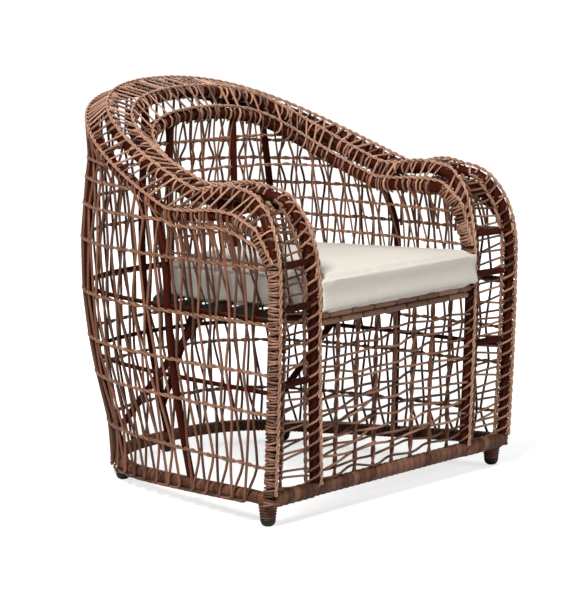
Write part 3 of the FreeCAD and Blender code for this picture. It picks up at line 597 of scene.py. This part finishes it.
strap_cloth = Finish("strap_cloth")
strap_weave = strap_cloth.noise(900.0, 1.0)
strap_cloth.surface({
    "Base Color": strap_cloth.mix(strap_weave, grey(0.004), (0.020, 0.019, 0.018, 1)),
    "Roughness": strap_weave * -0.15 + 0.8,
    "Normal": strap_cloth.bump(0.4, 0.0006, strap_weave),
})
strap_count = 5
first_strap = 0.075
strap_pitch = 0.078
strap_width = 0.050
strap_thickness = 0.002
strap_fall = seat_slope * strap_width
fold_slack = 0.0004
fold = rail_radius + strap_thickness / 2 + fold_slack
fold_turns = (-130, -90, -50, -10, 30, 60, 90)
left_shares = [step / 200 for step in range(100)]
straps = bmesh.new()
for number in range(strap_count):
    strap_place = front_line + first_strap + strap_pitch * number
    rail_share = min(left_shares, key=lambda share: abs(seat.point(share).y - strap_place))
    section = hooked(seat.point(rail_share), leftwards, upright, fold, fold_turns)
    section += mirrored(section[::-1])
    near = strap_place - strap_width / 2
    line = [straps.verts.new((point.x, near, point.z + strap_fall / 2)) for point in section]
    edges = [straps.edges.new(pair) for pair in zip(line, line[1:])]
    grown = bmesh.ops.extrude_edge_only(straps, edges=edges)["geom"]
    far = [item for item in grown if isinstance(item, bmesh.types.BMVert)]
    bmesh.ops.translate(straps, verts=far, vec=(0, strap_width, -strap_fall))
bmesh.ops.recalc_face_normals(straps, faces=straps.faces)
bmesh.ops.solidify(straps, geom=straps.faces[:], thickness=strap_thickness)
strap_mesh = finished(straps, "seat_webbing_folded")
fit("seat_webbing_folded", strap_mesh, strap_cloth.material, ["seat_webbing"])

# Outer wall
# Stakes of round rattan stand all round and cross or part from row to row, with short ones among them beside
# the arms. Each hooks over the outer edge rail, and its foot turns along the base ring, so the feet make a
# border like a rope. Rows of two strands twined round each other bind the stakes.

stake_count = 75
first_stake_share = 0.028
stake_step = (1 - 2 * first_stake_share) / (stake_count - 1)
stake_radius = 0.0026
stake_bend = 0.09
row_heights = (0.110, 0.210, 0.285, 0.378, 0.481, 0.548, 0.600, 0.638)
row_strand_radius = 0.0022
rows_round_arms = 6
chance = random.Random(11)

stake_peel = rattan("stake_peel", (0.022, 0.0048, 0.0018), (0.38, 0.166, 0.095), 0.65, 0.32, 0.3)
row_peel = rattan("row_peel", (0.16, 0.060, 0.031), (0.56, 0.295, 0.178), 0.4, 0.30)


def strands(name, ending, paths, radius, finish, fine=2, corners=1, bend=1 / 6, widths=None):
    """Put woven strands on the chair as one piece."""
    mesh = rods(name, paths, radius, widths, fine, corners, bend)
    fit(name + ending, mesh, finish, [name])


def foot_tail(share):
    """The turned foot of a stake, from its end on the base ring to where it leaves the ring upwards."""
    # Each step: how many stakes further on it lies, its degrees round the ring and its layers off the ring
    tail = ((2.6, -52, 1), (1.9, -42, 1.3), (1.2, -34, 2.2), (0.5, -32, 2.2), (0.12, -24, 1.4))
    rearwards = 1 if share < 0.5 else -1
    path = []
    for behind, turn, layer in tail:
        place = share + rearwards * behind * stake_step
        reach = wrap_radius + layer * stake_radius
        path += hooked(base.point(place), base.outward(place), upright, reach, (turn,))
    reach = wrap_radius + stake_radius
    return path + hooked(base.point(share), base.outward(share), upright, reach, (-14, 18))


def lead(share):
    """How much further along than the belly the edge rail lies at one share, as a share of the belly."""
    return (outer_edge.point(share) - belly.point(share)).dot(belly.run(share)) / belly.length


def stake_point(share, height):
    """Point of the outer wall on a stake that stands upright above the belly."""
    climb = max(0, (height - belly_height) / (outer_edge.point(share).z - belly_height))
    return wall(share - lead(share) * climb ** draw_in, height)


def stake_head(share):
    """The end of a stake, hooked over the edge rail."""
    hook = (-20, 40, 100, 160, 215)
    head = held(share - lead(share), edge_start, 1 - edge_start)
    return hooked(outer_edge.point(head), belly.outward(head), upright, edge_radius + stake_radius, hook)


def outer_stake(index):
    """Path of one stake of the outer wall."""
    foot_sway = 0.0085
    row_sway = 0.0058
    uneven = 0.0028
    head_room = 0.02
    share = first_stake_share + stake_step * index
    path = foot_tail(share + foot_sway / belly.length * (-1) ** index)
    top = outer_edge.point(share)
    rows = [height for height in row_heights if height < top.z - head_room]
    for order, height in enumerate(rows):
        lean = row_sway * (-1) ** (index + order + 1) + chance.uniform(-uneven, uneven)
        path.append(stake_point(share + lean / belly.length, height))
    return path + stake_head(share - lean / belly.length)


def short_stake(index):
    """Path of a short stake beside an arm, half a step on from a long one: from a row to the edge rail."""
    sway = 0.007
    below_row = 0.010
    lean = sway / belly.length * (-1) ** index
    share = first_stake_share + stake_step * (index + 0.5)
    low = row_heights[rows_round_arms - 2] - below_row
    middle = (low + outer_edge.point(share).z) / 2
    return [stake_point(share - lean, low), stake_point(share, middle)] + stake_head(share + lean)


stake_sides = {"left": range(0, 23), "back": range(23, 52), "right": range(52, stake_count)}
short_stakes = {"left": range(0, 10), "back": (), "right": range(64, 74)}
post_stakes = (10, 23, 37, 51, 64)
for side, numbers in stake_sides.items():
    paths = [outer_stake(index) for index in numbers if index not in post_stakes]
    paths += [short_stake(index) for index in short_stakes[side]]
    strands("outer_stakes_" + side, "_bent", paths, stake_radius, stake_peel, 3, 2, stake_bend)


def twined(walk, half_twist, swing):
    """Two strands twined round each other along a line: walk has its points, each with a direction off it."""
    travelled = 0.0
    pair = ([], [])
    for order, (point, across) in enumerate(walk):
        after = walk[min(order + 1, len(walk) - 1)][0]
        before = walk[max(order - 1, 0)][0]
        side = (after - before).normalized().cross(across).normalized()
        travelled += (point - before).length
        turn = math.pi * travelled / half_twist
        offset = (across * math.cos(turn) + side * math.sin(turn)) * swing
        pair[0].append(point + offset)
        pair[1].append(point - offset)
    return list(pair)


def outer_row(order):
    """Both strands of one row; a row that meets the rim follows it underneath or stops there."""
    under_rim = order == rows_round_arms - 1
    rim_gap = 0.020 if order < rows_round_arms else 0.003
    rim_lift = 0.010
    lift_start = 0.028
    lift_full = 0.020
    front_dip = 0.022 if under_rim else 0.0
    dip_length = 0.05
    overrun = 3 if under_rim else 2
    steps_per_stake = 4
    wave_height = 0.0022
    wave_scale = 60
    row_change = 7.3
    swing = 0.0020
    height = row_heights[order]
    walk = []
    for step in range(-overrun * steps_per_stake, (stake_count - 1 + overrun) * steps_per_stake + 1):
        share = first_stake_share + stake_step * step / steps_per_stake
        rim = outer_edge.point(share).z
        room = rim - rim_gap
        if height > room and order >= rows_round_arms:
            continue
        dip = front_dip * max(0.0, 1 - min(share, 1 - share) / dip_length) ** 2
        wave = wave_height * noise.noise(Vector((share * wave_scale, order * row_change, 0)))
        level = min(height, room)
        near = held((lift_start - (rim - level)) / (lift_start - lift_full), 0, 1)
        out = belly.outward(share)
        walk.append((wall(share, level + wave - dip) + out * rim_lift * near, out))
    return twined(walk, stake_step * belly.length, swing)


row_paths = []
for order in range(len(row_heights)):
    row_paths += outer_row(order)
strands("outer_weavers", "_twined", row_paths, row_strand_radius, row_peel)

# Inner wall
# Behind and beside the sitter a second wall of thinner stakes runs from the seat frame to the inner edge
# rail, round which they loop. Two poles stand among them at the back, and four twined rows bind them.

inner_count = 65
first_inner_share = 0.0086
inner_step = (1 - 2 * first_inner_share) / (inner_count - 1)
inner_radius = 0.0019
inner_bend = 0.10
inner_row_heights = (0.466, 0.530, 0.598, 0.659)
inner_row_radius = 0.0018
inner_row_swing = 0.0017
inner_wave_height = 0.002
inner_wave_scale = 60
inner_row_change = 5.1
row_steps = inner_count * 4
row_overrun = 0.024
rim_sink = 0.004
back_post_indexes = (27, 37)
back_post_radius = 0.0072


def inner_wall(share, height):
    """Point of the inner wall at one height."""
    low = seat.point(share)
    high = inner_edge.point(share)
    return low.lerp(high, (height - low.z) / (high.z - low.z))


def inner_stake(index):
    """One stake of the inner wall, looped round the edge rail; every other one leans the other way."""
    full_lean = 0.046
    full_height = 0.34
    uneven = 0.0018
    foot_room = 0.04
    head_room = 0.03
    foot_turns = (-120, -60, 0, 50)
    head_turns = (-60, 0, 50, 100, 160, 220)
    foot_reach = rail_radius + inner_radius
    head_reach = hoop_band_radius + inner_radius
    share = first_inner_share + inner_step * index
    low = seat.point(share).z
    high = inner_edge.point(share).z
    lean = full_lean / seat.length * (-1) ** index * (high - low) / full_height * chance.uniform(0.6, 1.25)
    foot = share - lean / 2
    head = share + lean / 2
    path = hooked(seat.point(foot), -seat.outward(foot), upright, foot_reach, foot_turns)
    for height in inner_row_heights:
        if low + foot_room < height < high - head_room:
            part = (height - low) / (high - low) - 0.5
            path.append(inner_wall(share + lean * part + chance.uniform(-uneven, uneven), height))
    return path + hooked(inner_edge.point(head), -seat.outward(head), upright, head_reach, head_turns)


inner_sides = {"left": range(0, 23), "back": range(23, 42), "right": range(42, inner_count)}
for side, numbers in inner_sides.items():
    paths = [inner_stake(index) for index in numbers if index not in back_post_indexes]
    strands("inner_stakes_" + side, "_bent", paths, inner_radius, stake_peel, 3, 2, inner_bend)

back_post_paths = []
for index in back_post_indexes:
    share = first_inner_share + inner_step * index
    back_post_paths.append([seat.point(share), inner_edge.point(share)])
pole("back_posts", back_post_paths, back_post_radius, 3)

inner_rows = []
for order, height in enumerate(inner_row_heights):
    walk = []
    for step in range(row_steps + 1):
        share = -row_overrun + (1 + 2 * row_overrun) * step / row_steps
        if height < inner_edge.point(share).z - rim_sink:
            ripple = noise.noise(Vector((share * inner_wave_scale, order * inner_row_change, 3)))
            walk.append((inner_wall(share, height + inner_wave_height * ripple), seat.outward(share)))
    inner_rows += twined(walk, inner_step * seat.length, inner_row_swing)
strands("inner_weavers", "_twined", inner_rows, inner_row_radius, row_peel)

# Rim lacing
# Strands are laced slantwise from rail to rail over the whole rim, close together round the back. A light
# twined line lies on top along each rail and hides where the strands turn.

lace_radius = 0.0023
line_radius = 0.0018
lace_peel = rattan("lace_peel", (0.026, 0.0056, 0.0022), (0.82, 0.450, 0.296), 0.75, 0.24)
line_peel = rattan("line_peel", (0.22, 0.088, 0.047), (0.84, 0.505, 0.345), 0.35, 0.24)


def lace(first, second, share, far_share, first_reach, second_reach):
    """Path of one strand over two rails, hooked a little way round each."""
    low = first.point(share)
    high = second.point(far_share)
    over = (high - low).normalized()
    rise = first.upward(share)
    rise = (rise - over * rise.dot(over)).normalized()
    path = hooked(low, -over, rise, first_reach, (-35, 15, 60, 95))
    return path + hooked(high, over, rise, second_reach, (85, 60, 15, -35))


def laces(first, second, reaches, places, pitches, slants):
    """Strands over the left halves of two rails; pitches and slants are those of the arms and of the back."""
    back_start = 0.26
    back_blend = 0.06
    uneven = 0.3
    paths = []
    share = places[0]
    while share < places[1]:
        along = held((share - back_start) / back_blend, 0, 1)
        pitch = pitches[0] + (pitches[1] - pitches[0]) * along
        slant = slants[0] + (slants[1] - slants[0]) * along
        lean = slant / first.length * (1 + chance.uniform(-uneven, uneven))
        thick = lace_radius * chance.uniform(1.0, 1.5)
        paths.append(lace(first, second, share, share + lean, reaches[0] + thick, reaches[1] + thick))
        share += pitch / first.length * chance.uniform(0.8, 1.2)
    return paths


def line_pair(line, first, last, radius, sideways, forwards):
    """Two twined strands that lie along a rail or post, off its middle in a direction of its own."""
    step_length = 0.0045
    half_twist = 0.017
    swing = 0.0018
    clearance = 0.0012
    reach = radius + 2 * lace_radius + clearance
    steps = round(line.length * (last - first) / step_length)
    walk = []
    for step in range(steps + 1):
        share = first + (last - first) * step / steps
        lift = (line.outward(share) * sideways + line.upward(share) * forwards).normalized()
        walk.append((line.point(share) + lift * reach, lift))
    return twined(walk, half_twist, swing)


half = (0.008, 0.5)
top_reaches = (rail_radius, rail_radius)
outer_reaches = (edge_radius, rail_radius)
inner_reaches = (rail_radius, hoop_band_radius)
roll_start = shaft_steps + 1
outer_roll = Line(outer_post[roll_start:])
inner_roll = Line(inner_post[roll_start:])
outer_landing = Line(edge_paths["outer"][:3])
inner_landing = Line(edge_paths["inner"][:3])
roll_places = (0.12, 1.0)
roll_pitches = (0.018, 0.018)
no_slants = (0, 0)
outer_slope = laces(outer_edge, outer_top, outer_reaches, half, (0.0245, 0.0150), (-0.022, 0.016))
outer_slope += laces(outer_landing, outer_roll, outer_reaches, roll_places, roll_pitches, no_slants)
top_ladder = laces(outer_top, inner_top, top_reaches, half, (0.0250, 0.0190), (0.030, -0.006))
inner_slope = laces(inner_top, inner_edge, inner_reaches, half, (0.0195, 0.0270), (0.024, 0.010))
inner_slope += laces(inner_roll, inner_landing, inner_reaches, roll_places, roll_pitches, no_slants)
left_laces = outer_slope + top_ladder + inner_slope
lacings = {"rim_lacing_left": [], "rim_lacing_back": [], "rim_lacing_right": []}
for path in left_laces + [mirrored(path) for path in left_laces]:
    middle = path[len(path) // 2]
    side = "left" if middle.x < 0 else "right"
    lacings["rim_lacing_" + ("back" if middle.y > outer_top.point(arm_share).y else side)].append(path)
for name, paths in lacings.items():
    widths = [[chance.uniform(0.7, 1.2)] * len(path) for path in paths]
    strands(name, "_drawn", paths, lace_radius, lace_peel, 2, 2, widths=widths)


def with_posts(post, ring):
    """A rail with the posts that it rolls over into at its two ends."""
    return Line(post + ring.points[1:-1] + mirrored(post[::-1]))


rim_lines = (
    ("outer_edge_line", with_posts(edge_paths["outer"][:2], outer_edge), 0.004, edge_radius, 0.75, 0.65),
    ("outer_top_line", with_posts(outer_post, outer_top), 0.008, rail_radius, 0.22, 0.97),
    ("inner_top_line", with_posts(inner_post, inner_top), 0.008, rail_radius, -0.17, 0.98),
    ("inner_edge_line", with_posts(edge_paths["inner"][:2], inner_edge), 0.004, hoop_band_radius, -0.45, 0.9),
)
for name, line, start, radius, sideways, forwards in rim_lines:
    pair = line_pair(line, start, 1 - start, radius, sideways, forwards)
    strands(name, "_twined", pair, line_radius, line_peel)

# Arm fronts
# Each front post is wound with peel on the side where the wall's strands end on it. Slanting strands cross
# its front to a second twined line beside it, and thin strands are laced over the gap between the posts.

coil_radius = 0.0021
line_reach = 0.0235
outer_line = Line(outer_post)
inner_line = Line(inner_post)
front_peel = rattan("front_peel", (0.020, 0.0040, 0.0015), (0.56, 0.290, 0.182), 0.75, 0.28, 0.3)


def part_turn(line, share, side, reach, turns):
    """Points round a post; turns are degrees from the given side towards the front."""
    return hooked(line.point(share), line.outward(share) * side, line.upward(share), reach, turns)


def spaced(line, first, last, pitch, uneven):
    """Shares of a line from one to another, each a little off its even place."""
    count = round(line.length * (last - first) / pitch)
    for order in range(count):
        yield first + (last - first) * (order + chance.uniform(-uneven, uneven)) / count


def coils(line, first, last, side, radius, pitch):
    """Separate half turns of peel along one side of a post."""
    turns = (-95, -55, -15, 25, 65, 90)
    middle = (len(turns) - 1) / 2
    paths = []
    for share in spaced(line, first, last, pitch, uneven=0.2):
        slope = chance.uniform(-0.004, 0.007) / line.length
        reach = radius + coil_radius * chance.uniform(0.8, 1.3)
        path = []
        for step, turn in enumerate(turns):
            path += part_turn(line, share + slope * (step - middle) / middle, side, reach, (turn,))
        paths.append(path)
    return paths


def bars(line, turns, line_turn, rise):
    """Slanting strands across the front of a post, out to the line that stands off at one side of it."""
    paths = []
    for share in spaced(line, 0.03, 0.98, pitch=0.022, uneven=0.15):
        path = []
        for turn in turns:
            place = share + rise / line.length * (turn - 90) / 100
            reach = line_reach if turn == line_turn else rail_radius + lace_radius
            path += part_turn(line, place, 1, reach, (turn,))
        paths.append(path)
    return paths


def gap_strands():
    """Thin strands from the line beside the outer post to the line beside the inner post."""
    slope = 0.016
    paths = []
    for share in spaced(outer_line, 0.05, 0.99, pitch=0.0150, uneven=0.3):
        far_share = share + chance.uniform(-slope, slope) / outer_line.length
        path = part_turn(outer_line, share, 1, line_reach, (165, 188))
        paths.append(path + part_turn(inner_line, far_share, 1, line_reach, (-8, 15)))
    return paths


def arm_front(inner_rise):
    """All the strands on the front of the left arm."""
    outer_rise = -0.014
    line_gap = line_reach - 2 * lace_radius
    paths = coils(outer_line, 0.005, 0.78, side=1, radius=rail_radius, pitch=0.0055)
    paths += coils(inner_line, 0.62, 0.80, side=-1, radius=rail_radius, pitch=0.0055)
    paths += coils(outer_landing, 0.1, 1.0, side=1, radius=edge_radius, pitch=0.0075)
    paths += coils(inner_landing, 0.1, 1.0, side=-1, radius=hoop_band_radius, pitch=0.0065)
    paths += bars(inner_line, (0, 60, 100, 145, 190), 0, inner_rise)
    paths += bars(outer_line, (45, 85, 120, 180), 180, outer_rise)
    paths += gap_strands()
    paths += line_pair(outer_line, 0.01, 0.99, line_gap, -1, 0)
    paths += line_pair(inner_line, 0.01, 0.99, line_gap, 1, 0)
    return paths


bar_rise = 0.016
strands("front_lacing_left", "_drawn", arm_front(bar_rise), lace_radius, front_peel)
right_front = [mirrored(path) for path in arm_front(-bar_rise)]
strands("front_lacing_right", "_drawn", right_front, lace_radius, front_peel)

# Apron and front panel
# Under the cushion two bars are covered with short lengths of split rattan laid like bricks. Below them seven
# twined stakes go down to the front rail, and thin strands are woven through them at uneven slopes.

brick_length = 0.066
brick_round = 0.0052
brick_joint = 0.0012
brick_tilt = 0.012
first_brick_cut = 0.15
shortest_brick = 2.2 * brick_round
bar_joint = 0.0006
apron_peel = rattan("apron_peel", (0.12, 0.048, 0.026), (0.46, 0.248, 0.158), 0.55, 0.38)
for row, name in enumerate(("apron_lower_bar", "apron_upper_bar")):
    low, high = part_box(name)
    bricks = bmesh.new()
    start = low.x - brick_length * (0.5 * row + first_brick_cut)
    while start < high.x:
        left = max(start, low.x)
        right = min(start + brick_length - brick_joint, high.x)
        start += brick_length
        if right - left < shortest_brick:
            continue
        size = Matrix.Diagonal((right - left, high.y - low.y, high.z - low.z - bar_joint, 1))
        tilt = Matrix.Rotation(chance.uniform(-brick_tilt, brick_tilt), 4, "Y")
        middle = Matrix.Translation(((left + right) / 2, (low.y + high.y) / 2, (low.z + high.z) / 2))
        brick = bmesh.ops.create_cube(bricks, size=1, matrix=middle @ tilt @ size)["verts"]
        edges = list({edge for corner in brick for edge in corner.link_edges})
        bmesh.ops.bevel(bricks, geom=edges, offset=brick_round, affect="EDGES", segments=3, profile=0.5,
                        material=-1)
    fit(name + "_bricks", finished(bricks, name), apron_peel, [name])

panel_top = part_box("apron_lower_bar")[0].z
panel_top_front = front_line - 0.024
panel_half = 0.230
panel_stakes = 7
panel_stake_radius = 0.0027
panel_strand_radius = 0.0025


def panel_point(across, height):
    """Point of the front panel: across from -1 to 1 between the inner posts."""
    part = (height - base_height) / (panel_top - base_height)
    depth = inner_front + (panel_top_front - inner_front) * part
    return Vector((across * panel_half, depth, height))


def panel_stake(index):
    """Both strands of one stake of the panel, which sways a little from side to side."""
    steps = 60
    overlap = 0.004
    sway_width = 0.016
    sway_scale = 9
    stake_change = 3.7
    half_twist = 0.036
    swing = 0.0022
    forwards = Vector((0, -1, 0))
    across = 2 * (index + 1) / (panel_stakes + 1) - 1
    walk = []
    for step in range(steps + 1):
        height = base_height + (panel_top + overlap - base_height) * step / steps
        sway = sway_width * noise.noise(Vector((index * stake_change, height * sway_scale, 1)))
        walk.append((panel_point(across + sway, height), forwards))
    return twined(walk, half_twist, swing)


panel_paths = []
for index in range(panel_stakes):
    panel_paths += panel_stake(index)
strands("front_panel_stakes", "_twined", panel_paths, panel_stake_radius, stake_peel)


def panel_strand(order, first, last, low, high):
    """A thin strand woven through the panel, from one stake number to another."""
    uneven = 0.0055
    weave_depth = 0.0050
    points = []
    for index in range(first, last + 1):
        part = (index - first) / (last - first)
        height = low + (high - low) * part + chance.uniform(-uneven, uneven)
        point = panel_point(2 * index / (panel_stakes + 1) - 1, height)
        point.y += weave_depth * (-1) ** (index + order)
        points.append(point)
    return points


panel_row_count = 16
first_panel_row = 0.076
panel_row_pitch = 0.0172
row_rise = 0.020
fan_count = 5
first_fan = 0.078
fan_pitch = 0.026
fan_rise = 0.038
fan_end = 3
panel_rows = []
for order in range(panel_row_count):
    height = first_panel_row + panel_row_pitch * order
    rise = chance.uniform(-row_rise, row_rise)
    panel_rows.append(panel_strand(order, 0, panel_stakes + 1, height - rise / 2, height + rise / 2))
for order in range(fan_count):
    height = first_fan + fan_pitch * order
    panel_rows.append(panel_strand(order, 0, fan_end, height, height + fan_rise))
strands("front_panel_weavers", "_drawn", panel_rows, panel_strand_radius, front_peel, 4)

# Seat cushion
# A loose foam cushion in a cream cloth cover, cut to fit inside the arms with a small ear in front of each
# inner post. It lies on the webbing, and its filling swells the cover.

cushion_inset = 0.004
cushion_seam = 0.0001
swell_limit = 0.009
smooth_turns = 3
filling_moments = 20
cover = bmesh.new()
cover.from_mesh(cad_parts["seat_cushion"].data)
former = placed("cushion_former", finished(cover, "cushion_start", cushion_seam))
remesh = former.modifiers.new("even_faces", "REMESH")
remesh.mode = "VOXEL"
remesh.voxel_size = 0.006
cushion_mesh = bpy.data.meshes.new_from_object(former.evaluated_get(bpy.context.evaluated_depsgraph_get()))
bpy.data.objects.remove(former)
shape = bmesh.new()
shape.from_mesh(cushion_mesh)
for turn in range(smooth_turns):
    bmesh.ops.smooth_vert(shape, verts=shape.verts, factor=0.5,
                          use_axis_x=True, use_axis_y=True, use_axis_z=True)
for corner in shape.verts:
    corner.co -= corner.normal * cushion_inset
shape.to_mesh(cushion_mesh)
shape.free()

cream_cloth = Finish("cream_cloth")


def thread(axis):
    """Ridges of the cloth's threads along one axis, from -1 to 1."""
    thread_scale = 5200.0
    along = cream_cloth.add("ShaderNodeSeparateXYZ", {}, {"Vector": cream_cloth.place()}, axis)
    return cream_cloth.add("ShaderNodeMath", {"operation": "SINE"}, {0: along * thread_scale})


weave = thread("X") * thread("Y") * 0.5 + 0.5
mottle = cream_cloth.noise(45.0)
tone = weave * 0.25 + mottle * 0.75
cream_cloth.surface({
    "Base Color": cream_cloth.mix(tone, (0.70, 0.645, 0.56, 1), (0.80, 0.755, 0.675, 1)),
    "Roughness": mottle * 0.1 + 0.82,
    "Sheen Weight": 0.15,
    "Specular IOR Level": 0.25,
    "Normal": cream_cloth.bump(0.12, 0.0004, weave),
})
cushion = fit("seat_cushion_filled", cushion_mesh, cream_cloth.material, ["seat_cushion"],
              "cushion")
cushion_mesh.shade_smooth()
rest_points = [(corner.co.copy(), corner.normal.copy()) for corner in cushion_mesh.vertices]
cloth = cushion.modifiers.new("filling", "CLOTH")
cloth.settings.use_pressure = True
cloth.settings.uniform_pressure_force = 4.0
cloth.settings.effector_weights.gravity = 0.0
cloth.settings.quality = 5
for moment in range(1, filling_moments + 1):
    bpy.context.scene.frame_set(moment)
swollen = cushion.evaluated_get(bpy.context.evaluated_depsgraph_get()).to_mesh()
moved = [corner.co.copy() for corner in swollen.vertices]
cushion.modifiers.remove(cloth)
bpy.context.scene.frame_set(1)
for corner, (start, out), end in zip(cushion_mesh.vertices, rest_points, moved):
    corner.co = start + out * held((end - start).dot(out), 0, swell_limit)
smooth = cushion.modifiers.new("smooth", "SUBSURF")
smooth.levels = 1
smooth.render_levels = 1

# Floor and light
# A plain pale studio floor that grows white away from the chair, in a white surround. A soft light stands
# high on the left, a weaker one in front on the right, and a third high up behind on the right.

floor_half = 30
floor_mesh = bpy.data.meshes.new("floor")
floor_shape = bmesh.new()
bmesh.ops.create_grid(floor_shape, x_segments=1, y_segments=1, size=floor_half)
floor_shape.to_mesh(floor_mesh)
floor_shape.free()
floor = placed("floor", floor_mesh)
floor_paint = Finish("floor_paint")
seen = floor_paint.add("ShaderNodeLightPath", {}, {}, "Is Camera Ray")
speckle = floor_paint.noise(3.0)
away = floor_paint.add("ShaderNodeVectorMath", {"operation": "LENGTH"}, {0: floor_paint.place()}, "Value")
fade = floor_paint.add("ShaderNodeMapRange", {}, {"Value": away, "From Min": 0.5, "From Max": 2.2})
glow = floor_paint.mix(fade, grey(0.68), grey(0.95))
floor_paint.surface({
    "Base Color": floor_paint.mix(speckle, grey(0.66), grey(0.68)),
    "Roughness": 0.9,
    "Specular IOR Level": 0.0,
    "Emission Color": floor_paint.mix(seen, grey(0), glow),
    "Emission Strength": 1.0,
})
floor_mesh.materials.append(floor_paint.material)

surround = Finish("studio", bpy.data.worlds, "Background")
faced = surround.add("ShaderNodeLightPath", {}, {}, "Is Camera Ray")
surround.surface({"Color": surround.mix(faced, grey(0.15), grey(1))})
bpy.context.scene.world = surround.material

chair_middle = Vector((0, 0, 0.4))
lamps = (
    ("key", Vector((-2.5, -1.0, 3.4)), 1.2, 165),
    ("fill", Vector((1.6, -3.0, 1.8)), 1.4, 22),
    ("back", Vector((1.8, 2.2, 2.6)), 1.4, 38),
)
for name, place, width, power in lamps:
    light = bpy.data.lights.new(name, "AREA")
    light.shape = "DISK"
    light.size = width
    light.energy = power
    lamp = placed(name, light)
    lamp.location = place
    lamp.rotation_euler = (chair_middle - place).to_track_quat("-Z", "Y").to_euler()

# Camera
# A long lens stands to the left of the front, somewhat higher than the chair, and looks a little down on it.
# The colours are shown as they are, without a film look.

look_down = math.radians(9.01)
look_round = math.radians(-49.14)
lens = bpy.data.cameras.new("camera")
lens.lens = 156
lens.sensor_width = 36
camera = placed("camera", lens)
camera.location = (-3.855, -3.407, 1.165)
camera.rotation_euler = (math.pi / 2 - look_down, 0, look_round)
bpy.context.scene.camera = camera
bpy.context.scene.view_settings.view_transform = "Standard"
